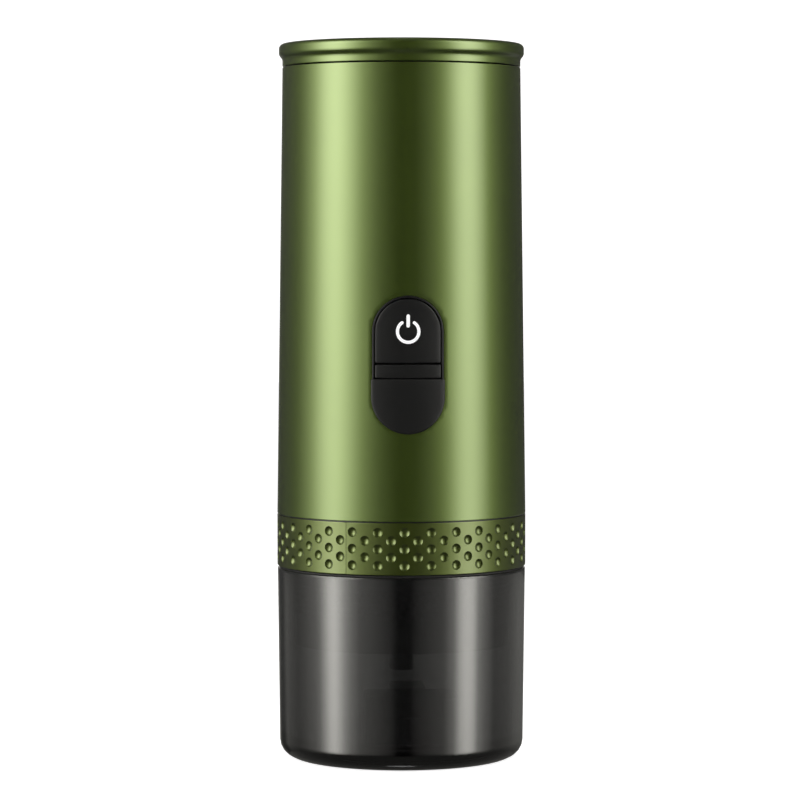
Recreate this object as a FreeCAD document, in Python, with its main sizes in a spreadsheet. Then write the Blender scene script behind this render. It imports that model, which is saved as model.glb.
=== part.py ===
import FreeCAD
import Part
import math
import operator
import os

import Sketcher
from FreeCAD import Placement, Rotation, Vector

# Portable electric espresso maker, 72 mm across and about 206 mm tall.
#
# It stands on its clear cup. The brew head hangs into the cup, the machine stands on the
# brew head, and the lid closes the water tank at the top of the machine.
# The origin is the middle of the foot, +Z is up, and the control panel faces -Y.

# Driving sizes in millimetres and degrees: name, value, what it is
SIZES = [
    ("round_flats", 24.0, "sides of a wide round piece inside the shell"),
    ("rod_flats", 10.0, "sides of a narrow round piece inside the shell"),
    ("rim_height", 55.0, "cup rim above the table"),
    ("rim_inset", 0.2, "cup's rim, in from the machine's outside"),
    ("cup_taper", 0.9, "cup's foot, in from its rim"),
    ("foot_round", 3.6, "rounding of the cup's foot"),
    ("cup_wall", 1.8, "wall of the cup"),
    ("cup_floor", 5.2, "inside floor of the cup above the table"),
    ("cup_cove", 2.0, "slope between the cup's floor and wall"),
    ("foot_land", 7.9, "width of the ring the cup stands on"),
    ("foot_recess", 0.8, "depth of the hollow under the foot"),
    ("scoop_width", 27.1, "stowed scoop, across the front"),
    ("scoop_shift", 2.65, "scoop middle, to the right of the axis"),
    ("scoop_front", 15.0, "scoop front, forward of the axis"),
    ("scoop_depth", 23.0, "scoop bowl, front to back"),
    ("scoop_height", 13.0, "scoop bowl, floor to brim"),
    ("scoop_wall", 1.4, "wall of the scoop"),
    ("scoop_corner", 4.0, "rounded corners of the scoop"),
    ("notch_width", 16.9, "pouring notch in the scoop's front"),
    ("notch_depth", 5.6, "pouring notch, down from the brim"),
    ("handle_length", 17.0, "scoop handle behind the bowl"),
    ("handle_width", 10.0, "scoop handle across"),
    ("handle_thickness", 2.0, "scoop handle, top to bottom"),
    ("barrel_play", 3.0, "room between the barrel and the cup's wall"),
    ("barrel_hang", 22.0, "lower edge of the brew barrel under the cup's rim"),
    ("barrel_floor_thickness", 5.0, "floor of the brew barrel"),
    ("band_height", 9.0, "grip band of the barrel, down from its flange"),
    ("band_relief", 0.7, "how far the grip band stands out"),
    ("flange_height", 4.5, "flange of the brew barrel, top to bottom"),
    ("seal_play", 0.3, "cup seal's skirt, in from the cup's wall"),
    ("seal_wall", 0.7, "skirt of the cup seal"),
    ("seal_skirt", 3.5, "cup seal, down from the rim"),
    ("seal_lip", 0.5, "lip of the cup seal on the rim"),
    ("seal_inset", 0.5, "cup seal lip, in from the rim's edge"),
    ("neck_inset", 6.6, "neck of the brew barrel, in from the machine's outside"),
    ("neck_height", 9.0, "neck of the brew barrel above its flange"),
    ("neck_play", 0.4, "clearance of the neck in its socket"),
    ("neck_wall", 6.8, "wall of the barrel's neck"),
    ("basket_play", 0.6, "clearance of the coffee basket in the barrel"),
    ("basket_wall", 0.6, "sheet of the coffee basket"),
    ("basket_depth", 22.5, "coffee basket, down from the neck's top"),
    ("brim_width", 2.4, "brim of the coffee basket"),
    ("basket_brim_thickness", 0.8, "rolled brim of the coffee basket"),
    ("hole_size", 1.3, "radius of a hole in the basket or the shower plate"),
    ("hole_pitch", 8.2, "ring of holes from the axis"),
    ("spout_bore", 1.5, "bore of the outlet spout"),
    ("spout_stem", 3.0, "spout stem in the barrel's floor"),
    ("spout_collar", 6.5, "collar of the spout under the floor"),
    ("spout_collar_thickness", 2.0, "collar of the spout, top to bottom"),
    ("spout_length", 6.0, "spout nozzle below its collar"),
    ("spout_tip", 3.5, "radius of the spout's nozzle"),
    ("seam_gap", 0.2, "gap between the brew head and the machine"),
    ("ring_height", 14.7, "grip ring"),
    ("ring_wall", 2.4, "wall of the grip ring"),
    ("ring_columns", 30.0, "pairs of dimple columns round the ring"),
    ("dimple_radius", 1.4, "mouth of a dimple"),
    ("dimple_depth", 0.6, "depth of a dimple"),
    ("dimple_pitch", 4.65, "distance between dimples in a column"),
    ("dimple_sides", 6.0, "sides of a dimple"),
    ("body_radius", 36.0, "machine outside at its foot"),
    ("body_taper", 1.65, "machine's top, in from its foot"),
    ("sleeve_height", 128.3, "outer sleeve"),
    ("sleeve_wall", 1.2, "wall of the outer sleeve"),
    ("socket_lip", 0.3, "dark seam between ring and sleeve"),
    ("socket_lip_inset", 0.5, "dark seam, in from the surface"),
    ("socket_rise", 0.3, "foot of the socket above the ring's foot"),
    ("fit", 0.2, "clearance between nested pieces"),
    ("gasket_height", 1.6, "head gasket"),
    ("gasket_width", 3.2, "head gasket, in to out"),
    ("head_gap", 0.3, "gap between the gasket and the basket's brim"),
    ("plate_thickness", 0.8, "shower plate"),
    ("plate_gap", 0.7, "gap above the shower plate"),
    ("nozzle_bore", 1.2, "bore of the inlet nozzle"),
    ("nozzle_radius", 3.1, "nozzle stem in the socket's ceiling"),
    ("nozzle_hex", 6.0, "nozzle nut, across its corners"),
    ("nozzle_hex_height", 2.8, "nozzle nut, top to bottom"),
    ("nozzle_stub", 2.3, "nozzle stub for the tube"),
    ("nozzle_stub_height", 3.5, "nozzle stub above its nut"),
    ("deck_thickness", 2.5, "decks of the inner frame"),
    ("motor_room", 2.5, "room above the pump motor"),
    ("pillar_inset", 7.5, "inner face of a frame pillar, in from the outside"),
    ("pillar_width", 8.0, "frame pillar across"),
    ("pillar_thickness", 3.0, "frame pillar, in to out"),
    ("side_angle", 30.0, "direction of the side corridors"),
    ("cradle_wall", 2.0, "wall of the pump's cradle"),
    ("cradle_height", 8.5, "pump cradle above the lower deck"),
    ("cradle_gap", 5.0, "gap in the cradle for the tube"),
    ("tab_thickness", 0.4, "tabs that join the cells"),
    ("tab_width", 4.0, "cell tab across"),
    ("tab_offset", 3.5, "lower cell tab's middle, out from the pump"),
    ("pump_gap", 1.05, "clearance of the cells round the pump"),
    ("cell_inset", 3.45, "battery cell, in from the machine's outside"),
    ("cell_nub", 3.0, "radius of a cell's raised end"),
    ("cell_nub_height", 0.6, "raised end of a cell"),
    ("pump_radius", 13.0, "pump head"),
    ("pump_height", 22.0, "pump head, foot to top"),
    ("eccentric_play", 1.7, "room round the eccentric"),
    ("chamber_depth", 8.0, "eccentric chamber, down from the top"),
    ("plunger_radius", 2.0, "pump plunger"),
    ("plunger_play", 0.05, "clearance of the plunger"),
    ("plunger_play_in", 0.6, "plunger's inner end, out from the eccentric"),
    ("plunger_inset", 2.0, "plunger's outer end, in from the pump's outside"),
    ("plunger_head", 2.9, "head of the plunger"),
    ("plunger_head_thickness", 1.0, "head of the plunger, in to out"),
    ("spring_inset", 1.5, "plunger's spring, in from the plunger's end"),
    ("spring_wire", 0.7, "thickness of the plunger's spring"),
    ("eccentric_radius", 4.0, "eccentric on the motor shaft"),
    ("eccentric_throw", 1.3, "eccentric, off the axis"),
    ("eccentric_height", 5.0, "eccentric, bottom to top"),
    ("motor_step", 0.8, "pump motor, in from the pump head"),
    ("motor_height", 31.0, "pump motor can"),
    ("motor_hub", 3.0, "rear bearing hub of the motor"),
    ("motor_hub_height", 2.0, "rear bearing hub, above the can"),
    ("shaft_radius", 1.0, "motor shaft"),
    ("shaft_bore", 1.05, "bore round the motor shaft"),
    ("valve_offset", 7.5, "check valve's middle, out from the pump"),
    ("valve_radius", 4.2, "check valve"),
    ("valve_foot", 9.0, "check valve above the lower deck"),
    ("valve_height", 11.0, "check valve, foot to top"),
    ("port_radius", 1.8, "water ports"),
    ("port_height", 8.0, "outlet port above the pump's foot"),
    ("inlet_height", 6.0, "inlet port above the pump's foot"),
    ("inlet_reach", 4.0, "inlet port out from the pump"),
    ("outlet_tube_radius", 1.6, "tube from the valve to the nozzle"),
    ("inlet_tube_radius", 2.0, "tube from the tank to the pump"),
    ("inlet_inset", 4.0, "inlet tube's middle, in from the heater's edge"),
    ("bend", 2.0, "rise of the outlet tube above the nozzle"),
    ("heater_inset", 2.5, "heater plate, in from the tank's outside"),
    ("heater_height", 4.0, "heater plate under the tank"),
    ("sensor_radius", 2.5, "temperature sensor"),
    ("fuse_radius", 2.0, "thermal fuse"),
    ("sensor_ring", 12.0, "sensor and fuse from the axis"),
    ("tank_inset", 5.85, "water tank, in from the machine's top"),
    ("tank_wall", 0.6, "sheet of the water tank"),
    ("collar_height", 10.0, "collar in the machine's top"),
    ("tank_brim_width", 2.0, "brim of the water tank"),
    ("tank_gasket_height", 1.0, "gasket on the tank's brim"),
    ("gasket_inset", 0.3, "tank gasket, back from the bore"),
    ("board_width", 26.0, "circuit board across"),
    ("board_spare", 4.5, "room above the circuit board"),
    ("board_thickness", 1.6, "circuit board"),
    ("board_inset", 12.1, "back of the board, in from the machine's outside"),
    ("board_lift", 1.5, "board above the lower deck"),
    ("post_inner", 7.5, "board post, inner side"),
    ("post_width", 4.0, "board post across"),
    ("post_depth", 3.4, "board post, front to back"),
    ("post_height", 9.0, "board post, along the board"),
    ("screw_radius", 1.0, "screw shank"),
    ("screw_head", 1.9, "screw head"),
    ("screw_head_height", 1.3, "screw head, top to bottom"),
    ("screw_grip", 5.0, "thread below what a screw holds"),
    ("board_screw_grip", 2.0, "thread of a board screw in its post"),
    ("panel_half", 10.0, "half of the control panel's width"),
    ("panel_rise", 24.25, "lower end of the control panel above the sleeve's foot"),
    ("panel_height", 38.95, "control panel, bottom to top"),
    ("panel_rim", 0.55, "rim of the control panel"),
    ("panel_fit", 0.05, "bezel in the sleeve's cut-out"),
    ("panel_gap", 0.25, "gap between the rim and what it holds"),
    ("panel_depth", 4.8, "bezel floor, in from the machine's outside"),
    ("panel_floor_thickness", 1.5, "floor of the bezel"),
    ("panel_flange", 1.8, "bezel flange behind the sleeve"),
    ("split_gap", 0.2, "half of the gap line beside the strap"),
    ("hinge_gap", 0.1, "half of the groove of the living hinge"),
    ("hinge_rise", 15.85, "living hinge above the panel's lower end"),
    ("strap_height", 4.1, "gap line under the button above the hinge"),
    ("button_inset", 0.1, "button face, in from the sleeve's surface"),
    ("button_travel", 0.5, "travel of the button"),
    ("button_spare", 0.5, "room left behind the pressed button"),
    ("post_radius", 3.0, "post behind the button"),
    ("post_play", 0.3, "clearance of the button's post"),
    ("symbol_drop", 0.2, "power symbol below the button's round middle"),
    ("symbol_radius", 2.87, "power symbol's ring, mid-line"),
    ("symbol_stroke", 1.0, "stroke of the power symbol"),
    ("symbol_opening", 2.45, "opening at the ring's top"),
    ("symbol_bar_width", 1.1, "bar of the power symbol"),
    ("symbol_bar_foot", 0.7, "bar's lower end above the middle"),
    ("symbol_bar_height", 4.2, "bar of the power symbol"),
    ("symbol_depth", 0.8, "depth of the power symbol's inlay"),
    ("strap_proud", 0.3, "hinge strap, out from the surface"),
    ("cover_reach", 0.35, "port cover beyond the panel's edge"),
    ("cover_proud", 0.45, "port cover, out from the surface"),
    ("cover_lift", 0.1, "cover's edge above the sleeve's surface"),
    ("cover_depth", 2.0, "port cover, in from the surface"),
    ("cover_play", 0.5, "clearance round the cover's plug"),
    ("switch_size", 6.2, "tact switch, square"),
    ("switch_depth", 3.1, "tact switch, back to front"),
    ("switch_bore", 1.75, "mouth of the tact switch"),
    ("switch_bore_depth", 1.4, "mouth of the tact switch, depth"),
    ("switch_plunger", 1.65, "plunger of the tact switch"),
    ("usb_rise", 8.05, "charging socket above the panel's lower end"),
    ("usb_width", 8.94, "charging socket across"),
    ("usb_height", 3.26, "charging socket, bottom to top"),
    ("usb_proud", 0.6, "mouth of the socket in front of the bezel's floor"),
    ("usb_wall", 0.3, "shell of the charging socket"),
    ("usb_depth", 5.0, "depth of the socket's mouth"),
    ("tongue_width", 6.7, "tongue in the socket across"),
    ("tongue_thickness", 0.7, "tongue in the socket, bottom to top"),
    ("tongue_back", 1.0, "tongue's tip behind the mouth"),
    ("lid_gap", 0.3, "gap between the sleeve and the lid"),
    ("skirt_height", 3.3, "skirt of the lid under its lip"),
    ("lip_reach", 1.0, "lip of the lid beyond its skirt"),
    ("lip_height", 3.2, "lip of the lid, bottom to top"),
    ("lid_round", 1.1, "rounding of the lid's top edge"),
    ("lid_cove", 0.9, "hollow under the lid's lip"),
    ("lid_plate", 2.2, "top plate of the lid"),
    ("plug_play", 1.2, "plug in the tank's mouth"),
    ("plug_depth", 8.5, "plug, down from the machine's top"),
    ("plug_wall", 2.8, "wall of the plug"),
    ("plug_floor", 1.5, "floor of the plug"),
    ("groove_depth", 1.3, "seal groove of the plug"),
    ("groove_height", 1.8, "seal groove, bottom to top"),
    ("lid_seal_play", 0.4, "lid seal in the tank's mouth"),
    ("vent_radius", 3.0, "vent valve under the plug"),
    ("vent_height", 2.0, "vent valve, top to bottom"),
]

# Sizes that follow from the driving ones: name, formula, what it is
FOLLOWING = [
    ("shell_flats", "ring_columns * 2", "flats round the shell, one for each dimple column"),
    ("rim_radius", "body_radius - rim_inset", "cup outside at its rim"),
    ("foot_radius", "rim_radius - cup_taper", "cup outside at its foot, before rounding"),
    ("foot_recess_radius", "foot_radius - foot_land", "hollow under the cup's foot"),
    ("rim_bore", "rim_radius - cup_wall", "cup inside at its rim"),
    ("barrel_radius", "rim_bore - barrel_play", "brew barrel outside"),
    ("barrel_foot", "rim_height - barrel_hang", "lower edge of the brew barrel"),
    ("seal_radius", "rim_bore - seal_play - seal_wall", "inside of the cup seal, on the flange"),
    ("neck_radius", "body_radius - neck_inset", "neck of the brew barrel in its socket"),
    ("cavity_radius", "neck_radius - neck_wall", "chamber of the brew barrel"),
    ("basket_radius", "cavity_radius - basket_play", "coffee basket outside"),
    ("basket_brim", "basket_radius + brim_width", "brim of the coffee basket"),
    ("gasket_bore", "basket_brim - gasket_width", "head gasket inside"),
    ("socket_radius", "body_radius - ring_wall - fit", "brew socket outside"),
    ("socket_bore", "neck_radius + neck_play", "brew socket inside"),
    ("frame_screw_ring", "(socket_radius + socket_bore) / 2", "frame screws, in the socket's wall"),
    ("frame_height", "cradle_height + pump_height + motor_height + motor_hub_height + motor_room",
     "clear height between the decks"),
    ("pillar_radius", "body_radius - pillar_inset", "inner face of a frame pillar"),
    ("cell_radius", "(body_radius - cell_inset - pump_radius - pump_gap) / 2", "battery cell"),
    ("cell_ring", "pump_radius + pump_gap + cell_radius", "cell middle from the axis"),
    ("tab_ring", "pump_radius + tab_offset", "lower cell tab from the axis"),
    ("chamber_radius", "eccentric_radius + eccentric_throw + eccentric_play",
     "eccentric chamber in the pump head"),
    ("plunger_start", "eccentric_radius + eccentric_throw + plunger_play_in",
     "plunger's inner end from the axis"),
    ("plunger_end", "pump_radius - plunger_inset", "plunger's outer end from the axis"),
    ("spring_end", "plunger_end - spring_inset", "outer end of the plunger's spring"),
    ("motor_radius", "pump_radius - motor_step", "pump motor"),
    ("valve_ring", "pump_radius + valve_offset", "check valve from the axis"),
    ("top_radius", "body_radius - body_taper", "machine outside at its top"),
    ("tank_radius", "top_radius - tank_inset", "water tank outside"),
    ("tank_brim", "tank_radius + tank_brim_width", "brim of the water tank"),
    ("tank_bore", "tank_radius - tank_wall", "water tank inside"),
    ("heater_radius", "tank_radius - heater_inset", "heater plate"),
    ("inlet_ring", "heater_radius - inlet_inset", "inlet tube from the axis"),
    ("tank_height",
     "sleeve_height - deck_thickness * 2 - frame_height - heater_height -"
     " tank_gasket_height - collar_height",
     "water tank, floor to brim"),
    ("board_height", "frame_height - board_lift - board_spare", "circuit board, foot to top"),
    ("board_back", "body_radius - board_inset", "back of the board, forward of the axis"),
    ("sleeve_foot", "rim_height + seal_lip + seam_gap + ring_height + socket_lip",
     "foot of the outer sleeve"),
    ("panel_low", "sleeve_foot + panel_rise", "lower end of the control panel"),
    ("panel_high", "panel_low + panel_height", "upper end of the control panel"),
    ("panel_floor", "body_radius - panel_depth", "bezel floor, forward of the axis"),
    ("hinge_level", "panel_low + hinge_rise", "living hinge of the port cover"),
    ("button_foot", "hinge_level + strap_height", "gap line under the button"),
    ("symbol_level", "panel_high - panel_half - symbol_drop", "middle of the power symbol"),
    ("cover_half", "panel_half + cover_reach", "half of the port cover's width"),
    ("cover_low", "panel_low - cover_reach", "lower end of the port cover"),
    ("usb_level", "panel_low + usb_rise", "middle of the charging socket"),
    ("usb_front", "panel_floor + usb_proud", "mouth of the socket, forward of the axis"),
    ("lid_radius", "top_radius + lip_reach", "lip of the lid"),
]

OPERATIONS = {
    "+": operator.add,
    "-": operator.sub,
    "*": operator.mul,
    "/": operator.truediv,
}
OVERSHOOT = 1.0
ROUNDING_STEPS = 2
CELL_DIRECTIONS = (90, 210, 330)
FRONT = 270


class Size:
    """A length or an angle, kept as its value and as the formula that gives it."""

    def __init__(self, value, formula):
        self.value = float(value)
        self.formula = formula

    def __add__(self, other):
        return combine("+", self, other)

    def __sub__(self, other):
        return combine("-", self, other)

    def __mul__(self, other):
        return combine("*", self, other)

    def __truediv__(self, other):
        return combine("/", self, other)

    def __radd__(self, other):
        return combine("+", other, self)

    def __rsub__(self, other):
        return combine("-", other, self)

    def __rmul__(self, other):
        return combine("*", other, self)

    def __neg__(self):
        return combine("-", 0, self)


def as_size(value):
    """A plain number as a size."""
    return value if isinstance(value, Size) else Size(value, "(%r)" % float(value))


def combine(sign, left, right):
    """The size that two sizes give under one of the four signs."""
    left, right = as_size(left), as_size(right)
    formula = "(%s %s %s)" % (left.formula, sign, right.formula)
    return Size(OPERATIONS[sign](left.value, right.value), formula)


def cosine(angle):
    """The cosine of an angle in degrees."""
    angle = as_size(angle)
    return Size(math.cos(math.radians(angle.value)), "cos(%s)" % angle.formula)


def sine(angle):
    """The sine of an angle in degrees."""
    angle = as_size(angle)
    return Size(math.sin(math.radians(angle.value)), "sin(%s)" % angle.formula)


class SizeSheet:
    """The document's sheet of driving sizes, read by name."""

    def __init__(self, document):
        self.sheet = document.addObject("Spreadsheet::Sheet", "sizes")
        following = [(alias, "=" + formula, meaning) for alias, formula, meaning in FOLLOWING]
        for row, (alias, content, meaning) in enumerate(SIZES + following, start=1):
            self.sheet.set("A%d" % row, alias)
            self.sheet.set("B%d" % row, str(content))
            self.sheet.set("C%d" % row, meaning)
            self.sheet.setAlias("B%d" % row, alias)
        document.recompute()

    def __getattr__(self, alias):
        return Size(getattr(self.sheet, alias), "sizes." + alias)


DOC = FreeCAD.newDocument("espresso_maker")
S = SizeSheet(DOC)
NODES = []


# Helpers that make bound objects

def bind(item, **properties):
    """Tie properties of an object to the formulas of sizes."""
    for name, size in properties.items():
        item.setExpression(name.replace("__", "."), as_size(size).formula)
    return item


def place(item, x, y, z, rotation=None):
    """Put an object at a bound place, turned by a plain rotation."""
    item.Placement = Placement(Vector(), rotation or Rotation())
    return bind(item, Placement__Base__x=x, Placement__Base__y=y, Placement__Base__z=z)


def node(label, item):
    """Name an object as a finished sub-part."""
    item.Label = label
    NODES.append(item)
    return item


def box(name, x_range, y_range, z_range):
    """A box between two corners."""
    item = DOC.addObject("Part::Box", name)
    bind(item, Length=x_range[1] - x_range[0], Width=y_range[1] - y_range[0],
         Height=z_range[1] - z_range[0])
    return place(item, x_range[0], y_range[0], z_range[0])


def prism(name, sides, corner_radius, foot, top, x=0, y=0, turn=0.0):
    """An upright prism with equal sides."""
    item = DOC.addObject("Part::Prism", name)
    item.Polygon = int(round(sides))
    bind(item, Circumradius=corner_radius, Height=top - foot)
    return place(item, x, y, foot, Rotation(Vector(0, 0, 1), turn))


def count_of(size):
    """A size that counts something, as a whole number."""
    return int(round(size.value))


def rod(name, radius, foot, top, x=0, y=0):
    """An upright many-sided rod, for the small round pieces inside the machine."""
    return prism(name, count_of(S.rod_flats), radius, foot, top, x, y)


def stepped(name, steps, bores=()):
    """An upright many-sided piece: steps of radius, foot and top, less its bores."""
    flats = count_of(S.round_flats)
    solids = [prism("%s_step_%d" % (name, index), flats, *step)
              for index, step in enumerate(steps)]
    whole = fuse(name + "_steps", *solids) if len(solids) > 1 else solids[0]
    if not bores:
        return whole
    tools = [prism("%s_bore_%d" % (name, index), flats, *bore)
             for index, bore in enumerate(bores)]
    return cut(name + "_bored", whole, *tools)


def fuse(name, *items):
    """One solid made of several that touch."""
    item = DOC.addObject("Part::MultiFuse", name)
    item.Shapes = list(items)
    return item


def group(name, items):
    """Several separate solids as one object."""
    item = DOC.addObject("Part::Compound", name)
    item.Links = list(items)
    return item


def cut(name, base, *tools):
    """A solid less its tools."""
    item = DOC.addObject("Part::Cut", name)
    item.Base = base
    item.Tool = tools[0] if len(tools) == 1 else group(name + "_tools", tools)
    return item


def common(name, first, second):
    """What two solids share."""
    item = DOC.addObject("Part::Common", name)
    item.Base = first
    item.Tool = second
    return item


def origin_plane(body, role):
    """One of a body's own origin planes."""
    for feature in body.Origin.OriginFeatures:
        if feature.Role == role:
            return feature
    raise ValueError("no plane " + role)


def flat_sketch(body, name, role):
    """A sketch on one of its body's origin planes."""
    sketch = body.newObject("Sketcher::SketchObject", name)
    sketch.AttachmentSupport = [(origin_plane(body, role), "")]
    sketch.MapMode = "FlatFace"
    return sketch


def tie_point(sketch, line, across, up):
    """Tie a line's first point to two sizes, or to an axis where one is nothing."""
    for kind, axis, size in (("DistanceX", -2, as_size(across)), ("DistanceY", -1, as_size(up))):
        if size.value == 0:
            sketch.addConstraint(Sketcher.Constraint("PointOnObject", line, 1, axis))
            continue
        index = sketch.addConstraint(Sketcher.Constraint(kind, -1, 1, line, 1, size.value))
        sketch.setExpression("Constraints[%d]" % index, size.formula)


def closed_outline(sketch, points):
    """Draw a closed outline of straight sides, each corner tied to its sizes."""
    corners = [Vector(as_size(a).value, as_size(b).value, 0) for a, b in points]
    count = len(corners)
    for index in range(count):
        sketch.addGeometry(Part.LineSegment(corners[index], corners[(index + 1) % count]))
    for index in range(count):
        following = (index + 1) % count
        sketch.addConstraint(Sketcher.Constraint("Coincident", index, 2, following, 1))
    for index, (across, up) in enumerate(points):
        tie_point(sketch, index, across, up)


def rounded_corner(radius, level, rounding, upwards):
    """Sections that round the edge of a tapered solid, from its lower to its higher one.

    The edge stands at a radius and a level. Going upwards it is the solid's foot, else its top.
    """
    sections = []
    for index in range(ROUNDING_STEPS + 1):
        angle = 90.0 * index / ROUNDING_STEPS
        if upwards:
            sections.append((radius - rounding + rounding * sine(angle),
                             level + rounding - rounding * cosine(angle)))
        else:
            sections.append((radius - rounding + rounding * cosine(angle),
                             level - rounding + rounding * sine(angle)))
    return sections


def tapered(name, sections, flats):
    """An upright many-sided solid through sections of radius and level."""
    flats = count_of(flats)
    rings = []
    for index, (radius, level) in enumerate(sections):
        ring = DOC.addObject("Part::RegularPolygon", "%s_section_%d" % (name, index))
        ring.Polygon = flats
        bind(ring, Circumradius=radius)
        rings.append(place(ring, 0, 0, level, Rotation(Vector(0, 0, 1), FRONT + 180.0 / flats)))
    item = DOC.addObject("Part::Loft", name)
    item.Sections = rings
    item.Solid = True
    item.Ruled = True
    return item


def forward_prism(name, sides, corner_radius, near, far, level, x=0):
    """A prism with equal sides that runs forward, towards the panel, at a level."""
    item = DOC.addObject("Part::Prism", name)
    item.Polygon = int(round(sides))
    bind(item, Circumradius=corner_radius, Height=far - near)
    return place(item, x, -near, level, Rotation(Vector(0, 0, 1), Vector(0, -1, 0)))


def forward_rod(name, radius, near, far, level, x=0):
    """A many-sided rod that runs forward, towards the panel, at a level."""
    return forward_prism(name, count_of(S.rod_flats), radius, near, far, level, x)


def radial_rod(name, radius, start, end, angle, level):
    """A many-sided rod that runs outwards from the axis at an angle and a level."""
    item = DOC.addObject("Part::Prism", name)
    item.Polygon = count_of(S.rod_flats)
    bind(item, Circumradius=radius, Height=end - start)
    outwards = Vector(cosine(angle).value, sine(angle).value, 0)
    turn = Rotation(Vector(0, 0, 1), outwards)
    return place(item, start * cosine(angle), start * sine(angle), level, turn)


def round_uprights(body, rounding):
    """Round a body's upright straight edges."""
    DOC.recompute()
    base = body.Tip
    names = []
    for index, edge in enumerate(base.Shape.Edges, start=1):
        if isinstance(edge.Curve, Part.Line) and abs(edge.Curve.Direction.z) > 0.99:
            names.append("Edge%d" % index)
    fillet = body.newObject("PartDesign::Fillet", body.Name + "_corners")
    fillet.Base = (base, names)
    bind(fillet, Radius=rounding)
    body.Tip = fillet
    return body


def block(name, width, depth, foot, top, x, y, corner):
    """An upright block with rounded corners, its front left corner at a place."""
    body = DOC.addObject("PartDesign::Body", name)
    sketch = flat_sketch(body, name + "_outline", "XY_Plane")
    closed_outline(sketch, [(0, 0), (width, 0), (width, depth), (0, depth)])
    pad = body.newObject("PartDesign::Pad", name + "_pad")
    pad.Profile = sketch
    bind(pad, Length=top - foot)
    round_uprights(body, corner)
    return place(body, x, y, foot)


def stadium_sketch(sketch, half, length):
    """Draw an upright stadium: its foot at the sketch's origin, its ends full round."""
    low, high, width = half.value, (length - half).value, half.value
    quarter = math.pi / 2
    sketch.addGeometry(Part.LineSegment(Vector(width, low, 0), Vector(width, high, 0)))
    top = Part.Circle(Vector(0, high, 0), Vector(0, 0, 1), width)
    sketch.addGeometry(Part.ArcOfCircle(top, 0, 2 * quarter))
    sketch.addGeometry(Part.LineSegment(Vector(-width, high, 0), Vector(-width, low, 0)))
    bottom = Part.Circle(Vector(0, low, 0), Vector(0, 0, 1), width)
    sketch.addGeometry(Part.ArcOfCircle(bottom, 2 * quarter, 4 * quarter))
    sketch.addConstraint([
        Sketcher.Constraint("Tangent", 0, 2, 1, 1),
        Sketcher.Constraint("Tangent", 1, 2, 2, 1),
        Sketcher.Constraint("Tangent", 2, 2, 3, 1),
        Sketcher.Constraint("Tangent", 3, 2, 0, 1),
        Sketcher.Constraint("Equal", 1, 3),
        Sketcher.Constraint("PointOnObject", 1, 3, -2),
        Sketcher.Constraint("PointOnObject", 3, 3, -2),
    ])
    ties = (("Radius", (1,), half), ("DistanceY", (-1, 1, 1, 3), length - half),
            ("DistanceY", (-1, 1, 3, 3), half))
    for kind, where, size in ties:
        index = sketch.addConstraint(Sketcher.Constraint(kind, *where, size.value))
        sketch.setExpression("Constraints[%d]" % index, size.formula)


def slab(name, half, low, high, near, far):
    """An upright stadium that runs forward between two distances from the axis."""
    sketch = DOC.addObject("Sketcher::SketchObject", name + "_outline")
    stadium_sketch(sketch, half, high - low)
    place(sketch, 0, -near, low, Rotation(Vector(1, 0, 0), 90))
    return extruded(name, sketch, far - near)


def lying_slab(name, half, length, level, near, far):
    """A stadium that lies across the front and runs forward between two distances."""
    sketch = DOC.addObject("Sketcher::SketchObject", name + "_outline")
    stadium_sketch(sketch, half, length)
    lying = Rotation(Vector(1, 0, 0), 90).multiply(Rotation(Vector(0, 0, 1), 90))
    place(sketch, length / 2, -near, level, lying)
    return extruded(name, sketch, far - near)


def extruded(name, sketch, length):
    """A sketch pushed out along its normal."""
    item = DOC.addObject("Part::Extrusion", name)
    item.Base = sketch
    item.DirMode = "Normal"
    item.Solid = True
    return bind(item, LengthFwd=length)


def bent_rod(name, points, radius):
    """A many-sided rod along straight runs that meet in mitred elbows."""
    corners = [Vector(*[as_size(value).value for value in point]) for point in points]
    path = Part.makePolygon(corners)
    heading = (corners[1] - corners[0]).normalize()
    turn = Rotation(Vector(0, 0, 1), heading)
    flats = count_of(S.rod_flats)
    section = []
    for index in range(flats + 1):
        angle = math.radians(360.0 * index / flats)
        spoke = Vector(radius.value * math.cos(angle), radius.value * math.sin(angle), 0)
        section.append(corners[0] + turn.multVec(spoke))
    item = DOC.addObject("Part::Feature", name)
    item.Shape = path.makePipeShell([Part.makePolygon(section)], True, False, 1)
    return item


def polar(radius, angle):
    """The two places of a point at a distance and an angle from the axis."""
    return radius * cosine(angle), radius * sine(angle)


# Levels and radii that several sub-parts share

RING_FOOT = S.rim_height + S.seal_lip + S.seam_gap
RING_TOP = RING_FOOT + S.ring_height
SLEEVE_FOOT = S.sleeve_foot
SLEEVE_TOP = SLEEVE_FOOT + S.sleeve_height
LID_FOOT = SLEEVE_TOP + S.lid_gap
LIP_FOOT = LID_FOOT + S.skirt_height
LID_TOP = LIP_FOOT + S.lip_height
FLANGE_TOP = S.rim_height + S.seal_lip
NECK_TOP = FLANGE_TOP + S.neck_height
BASKET_FOOT = NECK_TOP - S.basket_depth
SOCKET_FOOT = RING_FOOT + S.socket_rise
SOCKET_CEILING = NECK_TOP + S.basket_brim_thickness + S.head_gap + S.gasket_height
LOW_DECK = SLEEVE_FOOT
LOW_DECK_TOP = LOW_DECK + S.deck_thickness
HIGH_DECK = LOW_DECK_TOP + S.frame_height
HEATER_FOOT = HIGH_DECK + S.deck_thickness
TANK_FLOOR = HEATER_FOOT + S.heater_height
TANK_TOP = TANK_FLOOR + S.tank_height
COLLAR_FOOT = TANK_TOP + S.tank_gasket_height
PUMP_FOOT = LOW_DECK_TOP + S.cradle_height
PUMP_TOP = PUMP_FOOT + S.pump_height
BOARD_FRONT = S.board_back + S.board_thickness
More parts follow.
